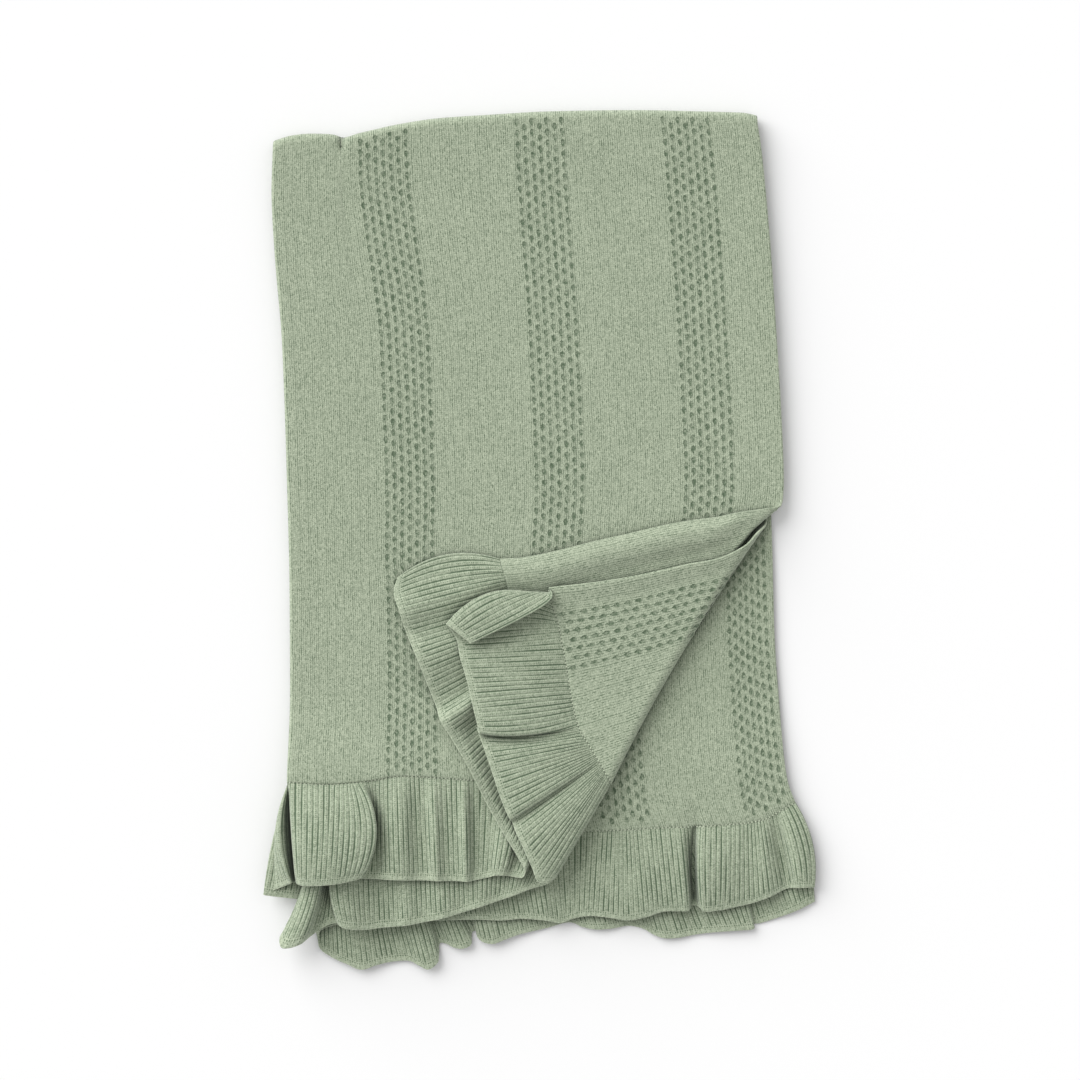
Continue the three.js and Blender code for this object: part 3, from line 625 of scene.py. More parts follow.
def stocking_stitch(name, right_side, hollow=None):
    """Fine single-bed cotton knit: columns of small V stitches in front, rows of purl bumps behind.
    Its grooves and open gaps are darkened with painted shade, every fourth groove a little more, and an
    eyelet is the same knit with painted shade in its hole."""
    material, tree = new_material(name)
    flat = add(tree, "ShaderNodeUVMap", uv_map="knit")[0]
    if hollow:
        spot = add(tree, "ShaderNodeAttribute", attribute_name="spot")["Vector"]
        place = add(tree, "ShaderNodeAttribute", attribute_name="place")["Vector"]
        flat = add(tree, "ShaderNodeVectorMath", (spot, place), operation="ADD")[0]
    parts = add(tree, "ShaderNodeSeparateXYZ", (flat,))
    drifts = {"Vector": flat, "Scale": drifts_per_metre, "Detail": 0.0}
    drift = add(tree, "ShaderNodeTexNoise", drifts)[0]
    per_wale = 1 / (wale_pitch * metres)
    per_course = 1 / (course_pitch * metres)
    wales = add(tree, "ShaderNodeMath", (parts[0], per_wale, drift), operation="MULTIPLY_ADD")[0]
    courses = add(tree, "ShaderNodeMath", (parts[1], per_course), operation="MULTIPLY")[0]
    if right_side:
        stagger = chance(tree, wales, 0.0, 4.0)
    else:
        stagger = add(tree, "ShaderNodeMath", (wales,), operation="FLOOR")[0]
    courses = add(tree, "ShaderNodeMath", (stagger, course_stagger, courses), operation="MULTIPLY_ADD")[0]
    leg = off_middle(tree, wales)
    slope = stitch_slope[right_side]
    slanted = add(tree, "ShaderNodeMath", (leg, slope, courses), operation="MULTIPLY_ADD")[0]
    groove = (leg, groove_from, 0.5)
    groove = add(tree, "ShaderNodeMapRange", groove, interpolation_type="SMOOTHSTEP")[0]
    loop = arches(tree, slanted)
    beside = add(tree, "ShaderNodeMath", (wales, 0.5), operation="ADD")[0]
    gap = chance(tree, beside, slanted, 1.0)
    gap = add(tree, "ShaderNodeMath", (gap, gap_power), operation="POWER")[0]
    number = add(tree, "ShaderNodeMath", (beside,), operation="FLOOR")[0]
    column = add(tree, "ShaderNodeMath", (number, groove_every), operation="MODULO")[0]
    column = add(tree, "ShaderNodeMath", (column, 0.5), operation="LESS_THAN")[0]
    loose = chance(tree, wales, slanted, 2.0)
    raised = add(tree, "ShaderNodeMath", (1.0, groove), operation="SUBTRACT")[0]
    crown = add(tree, "ShaderNodeMath", (loop, 0.5, 0.5), operation="MULTIPLY_ADD")[0]
    height = add(tree, "ShaderNodeMath", (raised, crown), operation="MULTIPLY")[0]
    # Painted shade for the grooves and the open gaps, a little more in every fourth groove.
    depth = weighed(tree, groove_painted_shade, ((gap, gap_painted_shade), (column, fourth_groove_painted_shade)))
    shade = weighed(tree, knit_shade, ((groove, depth), (loose, 0.1), (loop, -0.12)))
    # Inside an eyelet the knit gives way to painted shade of the hole, with a little random grain.
    if hollow:
        inside = add(tree, "ShaderNodeAttribute", attribute_name="hollow")["Fac"]
        hole_shade_and_grain = add(tree, "ShaderNodeMath", (loose, 0.4, hollow), operation="MULTIPLY_ADD")[0]
        shade = add(tree, "ShaderNodeMix", {0: inside, 2: shade, 3: hole_shade_and_grain})[0]
    yarn_surface(tree, dyed_yarn(tree, wales, parts[1], shade), height, knit_relief)
    return material


panel.data.materials.append(stocking_stitch("fine_cotton_knit_right_side", True))
panel.data.materials.append(stocking_stitch("fine_cotton_knit_wrong_side", False))
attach(panel, "root")
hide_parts("knit_panel")

# The eyelets of the panel
# Each is a small teardrop opening that a moved stitch leaves, with the knit drawn up round it. Here
# it is a shallow dish on the knit, and the dark of the opening is painted shade. They stand in
# lengthwise bands of seven columns, each column half a step off its neighbours.

band_middles = [50, 150, 250, 350, 450, 550, 650]
eyelet_column = 5.1
eyelet_step = 7.2
eyelet_width = 2.9
eyelet_length = 4.0
columns_in_band = 7
first_eyelet = 4
last_eyelet = panel_length - 2.5
clear_of_top = top_arc + 1
b_shows_past = 600
b_shows_until = 260
c_shows_past = 500
c_shows_from = 640


def right_side_shows(u, v):
    """A and D show their whole right side, B and C only that of their free corners."""
    if u < fold_u:
        return True
    if v < half_length:
        return u > b_shows_past and v < b_shows_until
    return u > c_shows_past and v > c_shows_from


def eyelet_places():
    """Place of each eyelet that shows on the right side, with its directions and its flat place."""
    spots = []
    for middle in band_middles:
        for column in range(columns_in_band):
            u = middle + (column - columns_in_band // 2) * eyelet_column
            start = first_eyelet + (column % 2) * eyelet_step / 2
            for v in np.arange(start, last_eyelet, eyelet_step):
                if right_side_shows(u, v) and abs(v - half_length) > clear_of_top:
                    spots.append((u, v))
    u, v = np.array(spots).T
    across = panel_normal(u, v)
    middle = laid_uneven(panel_point(u, v), u)
    along = unit(panel_point(u, v + 0.1) - panel_point(u, v - 0.1))
    place = np.stack([u, v, 0 * u], -1) * metres
    return middle + across * knit_thick / 2, {"along": along, "across": across, "place": place}


def give_points(mesh, carried):
    """Gives the points of a mesh a number or a vector each, for a node tree to read."""
    for attribute, values in carried.items():
        kind, field = ("FLOAT", "value") if np.ndim(values) == 1 else ("FLOAT_VECTOR", "vector")
        mesh.attributes.new(attribute, kind, "POINT").data.foreach_set(field, np.ravel(values))


def with_vectors(name, places, vectors):
    """A mesh of loose points that carries vectors."""
    mesh = bpy.data.meshes.new(name)
    mesh.from_pydata((places * metres).tolist(), [], [])
    give_points(mesh, vectors)
    piece = bpy.data.objects.new(name, mesh)
    bpy.context.scene.collection.objects.link(piece)
    return piece


def small_shape(name, rings, centre=None):
    """A small smooth shape from rings of points: a dish closed by its centre, or else a bead."""
    count = len(rings[0])
    last = (len(rings) - 1) * count
    points = [p for ring in rings for p in ring]
    faces = []
    for k in range(len(rings) - 1):
        for j in range(count):
            a, b = k * count + j, k * count + (j + 1) % count
            faces.append((a, b, b + count, a + count))
    if centre:
        points.append(centre)
        faces += [(last + j, last + (j + 1) % count, last + count) for j in range(count)]
    else:
        faces += [tuple(range(count))[::-1], tuple(range(last, last + count))]
    mesh = bpy.data.meshes.new(name)
    mesh.from_pydata((np.array(points) * metres).tolist(), [], faces)
    mesh.shade_smooth()
    return mesh


# Rings of an eyelet from its rim inwards: size, height in mm and how much painted shade of the hole it
# takes.
eyelet_rings = [(1.4, -0.1, 0.0), (1.12, 0.2, 0.12), (0.95, 0.06, 0.85)]
eyelet_middle = (0, 0, 0.02)
middle_hole_shade = 0.8
tip_hole_shade = 1.45
eyelet_sides = 8
eyelet_painted_shade = 0.62
tip_length = 1.45
lower_width = 0.8


def eyelet_ring(size, height):
    """One ring of the eyelet: x across, y along towards the crosswise fold, pointed below."""
    ring = []
    for k in range(eyelet_sides):
        angle = 2 * math.pi * k / eyelet_sides
        x, y = math.sin(angle), math.cos(angle)
        tip = tip_length if y < -0.9 else 1.0
        narrow = lower_width if y < -0.5 else 1.0
        ring.append((-x * narrow * size * eyelet_width / 2, y * tip * size * eyelet_length / 2, height))
    return ring


rings = [eyelet_ring(size, height) for size, height, _ in eyelet_rings]
eyelet_mesh = small_shape("eyelet", rings, eyelet_middle)
# Painted shade of the hole on each point: most at the middle and at the lower tip.
hollow = np.repeat([dark for _, _, dark in eyelet_rings], eyelet_sides).tolist() + [middle_hole_shade]
for k in (3, 4, 5):
    hollow[2 * eyelet_sides + k] = tip_hole_shade
spots = np.array([point.co[:] for point in eyelet_mesh.vertices]) * (-1, 1, 0)
give_points(eyelet_mesh, {"hollow": hollow, "spot": spots})


def made_by_nodes(piece, name, inputs, build):
    """Runs a node tree on a piece and keeps the result as its plain mesh."""
    tree = bpy.data.node_groups.new(name, "GeometryNodeTree")
    tree.interface.new_socket("Geometry", in_out="INPUT", socket_type="NodeSocketGeometry")
    sockets = {}
    for label, (kind, _) in inputs.items():
        sockets[label] = tree.interface.new_socket(label, in_out="INPUT", socket_type=kind)
    tree.interface.new_socket("Geometry", in_out="OUTPUT", socket_type="NodeSocketGeometry")
    start = add(tree, "NodeGroupInput")
    add(tree, "NodeGroupOutput", {0: build(tree, start)})
    modifier = piece.modifiers.new(name, "NODES")
    modifier.node_group = tree
    for label, (_, value) in inputs.items():
        modifier[sockets[label].identifier] = value
    graph = bpy.context.evaluated_depsgraph_get()
    result = bpy.data.meshes.new_from_object(
        piece.evaluated_get(graph), preserve_all_data_layers=True, depsgraph=graph
    )
    piece.modifiers.remove(modifier)
    result.name = piece.name
    piece.data = result
    return piece


def shapes_on_points(tree, start):
    """Sets the given shape on each point, turned by the vectors that the points carry."""
    shape = add(tree, "GeometryNodeObjectInfo", {"Object": start["Shape"]})["Geometry"]
    across = add(tree, "GeometryNodeInputNamedAttribute", ("across",), data_type="FLOAT_VECTOR")[0]
    along = add(tree, "GeometryNodeInputNamedAttribute", ("along",), data_type="FLOAT_VECTOR")[0]
    turned = add(
        tree, "FunctionNodeAxesToRotation", (across, along), primary_axis="Z", secondary_axis="Y"
    )[0]
    placed = add(tree, "GeometryNodeInstanceOnPoints", {
        "Points": start["Geometry"], "Instance": shape, "Rotation": turned, "Scale": start["Size"],
    })[0]
    whole = add(tree, "GeometryNodeRealizeInstances", (placed,))[0]
    return add(tree, "GeometryNodeSetMaterial", {"Geometry": whole, "Material": start["Yarn"]})[0]


def laid_on_cloth(name, title, places, vectors, shape, yarn):
    """Many small shapes of one yarn, laid on the cloth at the given places."""
    inputs = {
        "Shape": ("NodeSocketObject", shape),
        "Size": ("NodeSocketFloat", 1.0),
        "Yarn": ("NodeSocketMaterial", yarn),
    }
    return made_by_nodes(with_vectors(name, places, vectors), title, inputs, shapes_on_points)


eyelet_shape = bpy.data.objects.new("eyelet_shape", eyelet_mesh)
eyelet_knit = stocking_stitch("shaded_cotton_eyelet", True, hollow=eyelet_painted_shade)
places, vectors = eyelet_places()
eyelets = laid_on_cloth(
    "knit_eyelets", "eyelets on the panel", places, vectors, eyelet_shape, eyelet_knit
)
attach(eyelets, "root")

# The two ruffles
# Strips of the same yarn in one-by-one rib, 65 mm deep. They are knitted longer than the ends they
# are sewn to, so they stand in soft flutes. The ribs run from the seam to the cast-off edge, which
# has a narrow stitched hem.

rib_pitch = 3.2
rib_height = 0.45
rib_core = 0.3
ridge_power = 0.65
ruffle_depth = 65
cells_per_rib = 6
rib_course = 1.3
hem_line = 61.5
seam_inset = 0.25
ruffle_rim = 0.8
row_depths = [
    0, 0.2, 0.6, 1.4, 2.8, 4.6, 7, 10, 13.5, 17.5, 22, 27, 32, 37, 42, 47, 52, 56, 58.8, 60, 61.2,
    63, 64.2, 64.6, 64.85, ruffle_depth,
]

# Free edges, in order along the seam: place on the seam, x, y, z, sideways bow, lift in mm.
corner_of_a = [
    (0, -91.6, -23.9, 12.5, -9, 0), (8, -94.2, -33.5, 14.2, -3.9, 0),
    (17, -90.3, -46.4, 17.5, 0, 0), (30, -85.8, -60.6, 14.2, 0, 0), (44, -78.7, -77.4, 16.8, 0, 0),
    (62, -66.4, -109, 13, 1.3, -1), (67.5, -64.2, -115.8, 18.8, 1.3, 1),
    (80, -56.8, -127.7, 19.5, 0, -3), (96, -45.8, -146.4, 22, 0, -3.6),
    (112, -34.2, -169, 23, 0, -3), (126, -22.6, -189.6, 23.2, 0, -1.4),
    (139, -13.5, -204.5, 22.8, 0, 1),
]
front_a = [
    (148, -9.7, -212.1, 23, 0, 0.5), (155, -11.3, -216.6, 20.6, 0, 0),
    (161, -15.5, -216.7, 18.6, 0, -1), (168, -19.4, -216.1, 17.4, 0, -1.6),
    (176, -23.9, -215.4, 20.4, 0, 1.2), (186, -28.4, -215.4, 20, 0, 1.2),
    (194, -32.9, -216.7, 17.8, 0, -1.2), (203, -38.1, -218, 17.2, 0, -2),
    (211, -43.2, -219, 17.4, 0, -1.8), (216, -47.1, -219.4, 20.4, 0, 1.5),
    (221, -51.6, -219.2, 18.6, 0, -0.2), (230, -60, -219.1, 18.2, 0, -0.4),
    (237, -66.4, -219, 20.6, 0, 1.5), (243, -72.2, -218.8, 18.2, 0, -1.4),
    (249, -78.4, -218.7, 18, 0, -1), (256, -85.8, -218.5, 20.8, 0, 1.4),
    (263, -92.9, -218.3, 21, 0, 1.4), (269, -99.3, -218.2, 18.8, 0, -0.6),
    (274, -105.1, -217.9, 17, 0, -2.2), (277.5, -111.6, -217.7, 17.2, 2.6, -2),
    (280, -115.8, -217.4, 18.8, 5.8, -0.6), (281.5, -117.1, -217.2, 22, 7.7, 1.2),
    (284, -114.8, -216.8, 24.8, 10.3, 2.6), (295, -129, -219.9, 28, 1.9, 3),
    (312, -144.5, -221.2, 28, 1.3, 3), (322, -152.2, -221.2, 26.5, 0, 2.6),
    (328.5, -155.4, -220.3, 24.5, -0.6, 2), (330.5, -156.4, -219.8, 16.5, 0.6, -3),
    (331.8, -158, -220.1, 14.5, 0, -3.5), (333.2, -159.6, -220.3, 18.5, -5.8, 2.6),
]
front_left_side = [
    (334.4, -160.9, -221.2, 16.5, -8.1, 2.6), (335.4, -174.2, -227, 10.8, -3.2, -2.4),
    (336.6, -178.1, -228.6, 11.6, -2.6, -1.6), (338.5, -173.5, -229.6, 11, 0, 0),
    (341, -163.8, -230.9, 10, 1.9, 0), (343.2, -152.9, -233.2, 9.6, 3.9, 0),
]
front_b = [
    (345, -151.6, -241.2, 9.7, 6.5, 0), (346.6, -158.7, -251.6, 11, 8.4, 0),
    (348.4, -167.1, -255.1, 13.4, 9.7, 0.5), (351, -166.4, -261.9, 17.4, 9, 1),
    (355, -161.6, -262.2, 19, 8.4, 1.4), (359.5, -154.2, -259.9, 18.6, 7.7, 1.6),
    (363.5, -149.6, -256.7, 12.6, 6.5, 0.2), (368, -142.5, -251.6, 10.3, 3.9, -0.8),
    (373.5, -135.5, -248, 10.2, 0, -0.9), (378, -130.3, -247, 11.2, -4.5, -0.5),
    (380, -129.6, -247.4, 16, -7.7, 1), (383, -126.4, -249.3, 18.2, -7.1, 1.4),
    (389, -119.3, -250.6, 17.6, -3.9, 1.2), (396, -110.9, -250.9, 14.4, -1.3, 0),
    (404, -102.6, -249.9, 12.4, 0, -0.8), (413, -94.2, -249.2, 12.8, 0, -0.6),
    (422, -85.8, -248.1, 15.6, 0, 0.6), (434, -74.8, -246.1, 14, 0, 0),
    (447, -62.6, -243.5, 16, 0, 0.6), (462, -49, -239.6, 13.8, 0, -0.3),
    (478, -36.8, -235.7, 15.4, 0, 0.4), (494, -26.4, -232.2, 13.6, 0, -0.3),
    (512, -17.4, -229, 15.2, 0, 0.2), (541, -6.5, -224.8, 14.6, 0, 0),
    (552, 4.5, -221.2, 15.2, 0, 0),
]
corner_of_b = [
    (560, 10.3, -216.1, 19, 0, 0), (566, 5.2, -219.3, 23.6, 0, 0), (569.5, -1, -219, 25.2, 0, 0.5),
    (571.5, -5.2, -209.6, 26, 0, 1), (574, -11, -196.7, 26, 0, 1),
    (576.5, -15.8, -186.4, 24.6, 0, 0.6), (578.5, -18.1, -180.3, 22.8, 0, 0.3),
    (579.8, -19.4, -178.7, 25.8, 0, 0.8), (583, -24.5, -167.1, 26, 0, 1),
    (588, -30, -150.9, 24.8, 0, 0.8), (594, -34.8, -136.7, 23.4, 0, 0.5),
    (599, -38.1, -127.7, 20.8, 3.2, 0.3), (601.5, -40.6, -120.6, 19.8, 2.6, 0.2),
    (604.5, -39, -123.5, 24.8, 3.9, 0.5), (618, -42.6, -108.4, 24.4, 0, 0.5),
    (632, -47.4, -88.4, 22.4, 0, 0), (645, -51.6, -74.2, 20.4, 0, 0),
    (656, -53.5, -64.5, 17.6, 0, -0.5), (666, -59, -55.5, 17.8, -10.3, -0.5),
    (673, -60, -54.2, 22.4, -14.2, 2), (682, -44.1, -66.4, 25, 7.7, 6),
]
back_d = [
    (0, 178, -234.1, 2.2, 4.5, 0), (14, 166.4, -239.9, 3.2, 0, 0), (28, 153.5, -244.8, 1.8, 0, 0),
    (38, 142.5, -248.3, 1.2, 0, 0), (43, 138.7, -249, 1.3, 1.3, 0),
    (47, 138.4, -251.6, 3.6, 1.9, 0), (60, 127.7, -252.8, 4, 0, 0), (74, 114.8, -253.8, 3.4, 0, 0),
    (86, 101.9, -255.4, 2, 0, -0.5), (98, 89, -257.7, 3, 0, 0), (106, 80, -257.7, 3.6, 0, 0),
    (113, 73.5, -255.4, 2.6, 0, 0), (120, 67.7, -252.2, 1.4, 0, 0), (130, 58.1, -249.9, 1.2, 0, 0),
    (142, 46.4, -251.6, 3, 0, 0), (152, 36.1, -252.1, 3.6, 0, 0), (160, 27.7, -250.6, 2.6, 0, 0),
    (168, 20, -247.7, 1.4, 0, 0), (182, 3.2, -251.6, 1.8, 0, 0), (198, -13.5, -255.4, 3.4, 0, 0),
    (208, -22.6, -258.6, 4.2, 0, 0), (216, -30.3, -261.2, 5, 0, 0.4),
    (223, -37.1, -259.9, 4.6, 0.6, 0), (227, -40.3, -256.7, 3.6, 1.3, 0),
    (230, -41, -252.8, 1.4, 0, 0), (235, -43.9, -254.1, 1.3, -0.6, 0),
    (237.5, -44.8, -261.9, 4.2, -1.9, 0), (243, -50.3, -264.4, 4.8, 0, 0),
    (250, -56.1, -263.5, 4, 0, 0), (254.5, -60.6, -261.5, 2, 0, 0),
    (258, -64.8, -261.2, 1.3, 0.6, 0), (261, -65.5, -268.3, 3.6, 1.9, 0),
    (263, -66.4, -273.5, 5, 1.9, 0.3), (266, -72.2, -277.7, 5.8, 0.6, 0.5),
    (271, -78, -275.4, 5, 0, 0), (277, -84.5, -272.5, 3, 0, 0), (285, -95.5, -273, 2.8, 0, 0),
    (293, -105.8, -275.1, 4.4, 0, 0), (300, -115.5, -277.9, 5.4, 0, 0),
    (308, -125.1, -274.3, 4.8, 0, 0), (316, -134.8, -269.9, 3.8, 0, 0),
    (323, -142.2, -264.4, 3.2, 0, 0),
]
back_left_side = [
    (330, -143.2, -256.7, 4, -1.9, 0),
]
back_c = [
    (335, -141.6, -252.2, 7, 0, 0), (352, -123.8, -247, 7.4, 0, 0),
    (372, -104.5, -247.7, 6.8, 0, 0), (394, -82.6, -245.7, 7.6, 0, 0),
    (414, -61.9, -245.7, 7, 0, 0), (436, -42.6, -245.1, 8.2, 0, 0),
    (456, -24.5, -245.7, 7.6, 0, 0), (470, -12.3, -244.8, 6.8, 0, 0),
    (488, 3.2, -245.7, 8.4, 0, 0.8), (500, 12.9, -247.4, 7, 0, 0),
    (514, 21.9, -244.5, 6.6, 0, -0.4), (526, 31.6, -242.9, 7.4, 0, 0.2),
    (538, 43.9, -243.8, 8, 0, 1.2), (547, 56.1, -245.6, 8.4, 0, 2),
    (556, 68.4, -243.5, 8.6, 0, 2.4), (568, 80, -239.9, 8.4, 0, 2.4),
    (578, 89.7, -239.6, 8.8, 0, 2.6), (585, 95.5, -239.3, 9, 0, 2.6),
    (588, 97.1, -237.7, 7.2, 0, 0.6), (591, 98, -236.4, 5.2, 0, -1.6),
    (595, 101.3, -236.4, 5, 0, -1.7), (597.3, 103.5, -237.7, 7.6, -1.3, 1),
    (600, 105.5, -239.6, 9.2, -1.3, 3), (611, 114.2, -239.3, 9, 0, 2.8),
    (624, 126.4, -237, 7.8, 0, 2), (634, 137.4, -234.5, 7.2, 0, 1.4),
    (643, 149, -230.3, 8, 0, 1.6), (648, 154.8, -227.4, 7, 0, 0.2),
    (651.5, 159, -225.6, 5.4, 0, -1.5), (655, 162.5, -225, 5.4, 0.6, -1.5),
    (658, 166.1, -224.7, 8.4, 1.9, 1.6), (664, 171.6, -224.4, 9, 3.2, 2),
    (670, 177.4, -224.4, 7.6, 5.2, 0.6),
]

front_edge = np.array(corner_of_a + front_a + front_left_side + front_b + corner_of_b)
back_edge = np.array(back_d + back_left_side + back_c)


def edge_curve(rows):
    """A centripetal curve through the rows of a free edge."""
    chords = np.linalg.norm(np.diff(rows[:, 1:4], axis=0), axis=1)
    knots = np.concatenate([[0], np.cumsum(np.sqrt(chords))])
    slopes = np.diff(rows, axis=0) / np.diff(knots)[:, None]
    wide = (rows[2:] - rows[:-2]) / (knots[2:] - knots[:-2])[:, None]
    tangents = np.concatenate([slopes[:1], slopes[:-1] + slopes[1:] - wide, slopes[-1:]])

    def at(q):
        i = np.clip(np.floor(q).astype(int), 0, len(rows) - 2)
        f = (q - i)[..., None]
        step = (knots[i + 1] - knots[i])[..., None]
        line = (2 * f**3 - 3 * f**2 + 1) * rows[i] + (3 * f**2 - 2 * f**3) * rows[i + 1]
        return line + step * ((f**3 - 2 * f**2 + f) * tangents[i] + (f**3 - f**2) * tangents[i + 1])

    return at


# Stretches of the seam in mm, and reaches as shares of the way from the seam to the free edge.
late_belly = 2
late_stretch = ((62, 78), (140, 122))
early_belly = 0.65
early_stretch = (674, 682)
slot_depth = 4.6
slot_stretch = ((70, 84), (138, 126))
slot_reach = ((0.2, 0.6), (0.92, 0.75))
pleat_depth = 1.2
pleat_u = 593
pleat_half_width = 3
pleat_reach = ((0, 0.1), (1, 0.9))


def belly_power(u):
    """The bow and lift peak near the edge on the turned-back corner, near the seam at the last flute."""
    return 1 + late_belly * within(late_stretch, u) - early_belly * ease(*early_stretch, u)


def sinking(front, u, g):
    """The front ruffle sinks in beside the edge that lies over it, the back one in a small pleat."""
    if front:
        return slot_depth * within(slot_stretch, u) * within(slot_reach, g)
    along = np.exp(-(((u - pleat_u) / pleat_half_width) ** 2))
    return pleat_depth * along * within(pleat_reach, g)


def ruffle_point(edge, front, q, g):
    """Middle of a ruffle at place q of its free edge and share g of the way there from the seam."""
    end = edge(q)
    seam_v = seam_inset if front else panel_length - seam_inset
    start = panel_point(end[..., 0], np.full_like(q, seam_v))
    reach = end[..., 1:3] - start[..., :2]
    size = np.linalg.norm(reach, axis=-1)
    early = np.maximum(g, 0) ** belly_power(end[..., 0])
    belly = 4 * early * (1 - early)
    bow = end[..., 4] * belly
    x = start[..., 0] + reach[..., 0] * g - reach[..., 1] / size * bow
    y = start[..., 1] + reach[..., 1] * g + reach[..., 0] / size * bow
    z = blend(start[..., 2], end[..., 3], g * (2 - g)) + end[..., 5] * belly
    return np.stack([x, y, z - sinking(front, end[..., 0], g)], -1)


def ruffle_normal(edge, front, q, g):
    """Outward from the right side of a ruffle."""
    step = 0.02
    dq = ruffle_point(edge, front, q + step, g) - ruffle_point(edge, front, q - step, g)
    dg = ruffle_point(edge, front, q, g + step) - ruffle_point(edge, front, q, g - step)
    return unit(np.cross(dq, dg)) * (1 if front else -1)


def run_along(*lines):
    """Distance run along a line of points, or the mean of it over several lines."""
    steps = [np.linalg.norm(np.diff(line, axis=0), axis=1) for line in lines]
    return np.concatenate([[0], np.cumsum(np.mean(steps, axis=0))])


low_at_seam = 0.35
seam_widens = (0.5, 5)
low_in_hem = 0.3
hem_narrows = (hem_line - 2.5, hem_line)
mean_opening = 0.95
opening_varies = 0.3


def rib_opening(number, depth):
    """How high the ribs stand: low at the seam and in the hem, a little uneven between them."""
    free = blend(low_at_seam, 1, ease(*seam_widens, depth))
    free = free * blend(1, low_in_hem, ease(*hem_narrows, depth))
    along_edge = np.sin(number / 2.3 + 2 * np.sin(number / 7))
    return free * (mean_opening + opening_varies * along_edge * np.sin(depth / 17 + number / 5))


def knitted_ribs(tree, start):
    """Lifts both faces off the middle: full ridges with narrow grooves between them."""
    rib = add(tree, "GeometryNodeInputNamedAttribute", ("rib",), data_type="FLOAT")[0]
    face = add(tree, "GeometryNodeInputNamedAttribute", ("face",), data_type="FLOAT")[0]
    room = add(tree, "GeometryNodeInputNamedAttribute", ("open",), data_type="FLOAT")[0]
    across = add(tree, "GeometryNodeInputNamedAttribute", ("across",), data_type="FLOAT_VECTOR")[0]
    ridge = add(tree, "ShaderNodeMath", (arches(tree, rib), ridge_power), operation="POWER")[0]
    ridge = add(tree, "ShaderNodeMath", (ridge, start["Rib height"]), operation="MULTIPLY")[0]
    lift = add(tree, "ShaderNodeMath", (ridge, room, start["Core"]), operation="MULTIPLY_ADD")[0]
    lift = add(tree, "ShaderNodeMath", (lift, face), operation="MULTIPLY")[0]
    offset = add(tree, "ShaderNodeVectorMath", {0: across, "Scale": lift}, operation="SCALE")[0]
    return add(tree, "GeometryNodeSetPosition", {"Geometry": start["Geometry"], "Offset": offset})[0]


fine_steps = 6000
even_along = (0.55, 1)
leaves_seam = (0, 0.1)


def ruffle(name, node, rows, front):
    """One ruffle along the rows of its free edge, with its curve and the length of that edge."""
    edge = edge_curve(rows)
    fine = np.linspace(0, len(rows) - 1, fine_steps)
    halfway, free_edge = [ruffle_point(edge, front, fine, np.full_like(fine, g)) for g in even_along]
    edge_length = run_along(free_edge)[-1]
    run = run_along(halfway, free_edge)
    ribs = int(round(edge_length / rib_pitch))
    q = np.interp(np.linspace(0, run[-1], ribs * cells_per_rib + 1), run, fine)
    rib_number = np.linspace(0, ribs, len(q))
    qs, gs = np.meshgrid(q, np.array(row_depths) / ruffle_depth)
    middle = ruffle_point(edge, front, qs, gs)
    own = ruffle_normal(edge, front, qs, gs)
    sewn = panel_normal(edge(q)[:, 0], np.full_like(q, 0.0 if front else panel_length))
    across = unit(blend(sewn[None], own, ease(*leaves_seam, gs)[..., None]))
    from_ends = np.minimum(rib_number, ribs - rib_number) * rib_pitch
    from_rim = np.minimum(np.minimum(gs, 1 - gs) * ruffle_depth, from_ends)
    face = rounded(from_rim, ruffle_rim)
    depths = gs * ruffle_depth
    numbers = np.repeat(rib_number[None], len(gs), 0)
    opening = rib_opening(numbers, depths)
    zero = np.zeros_like(face)
    uv_over = np.stack([numbers * rib_pitch, depths], -1)
    uv_under = np.stack([(numbers + 0.5) * rib_pitch, depths], -1)
    piece, inside = closed_cloth(name, middle, across, zero, zero, uv_over, uv_under, flip=front)

    def both(over, under):
        return np.concatenate([over.reshape(-1, *over.shape[2:]), under[inside]])

    give_points(piece.data, {
        "rib": both(numbers, numbers + 0.5),
        "face": both(face, -face),
        "open": both(opening, opening),
        "across": both(across, across),
    })
    inputs = {
        "Rib height": ("NodeSocketFloat", rib_height * metres),
        "Core": ("NodeSocketFloat", rib_core * metres),
    }
    made_by_nodes(piece, name + " ribs", inputs, knitted_ribs)
    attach(piece, "root")
    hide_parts(node)
    return piece, edge, edge_length


# Places across a rib run from 0 at its middle to 0.5 in the groove. Grooves are darkened with
# painted shade; slack grooves are wider and darker, in stretches of about 27 mm, and rungs cross them.
grooves_per_metre = 22.0
slack_scale = 1.7
slack_range = (0.3, 0.7)
bank_tight = 0.41
bank_slack = -0.12
groove_full = 0.48
tight_groove_painted_shade = 0.4
slack_groove_painted_shade = 0.85
rung_less_shade = -0.3
dots_lie = (0.13, 0.02)
dots_show = (0.2, -0.7)
pricks_show = (-0.2, 0.7)
prick_half_width = 0.4
rib_slope = 1.5
rib_shade = 0.325
rib_relief = 0.15


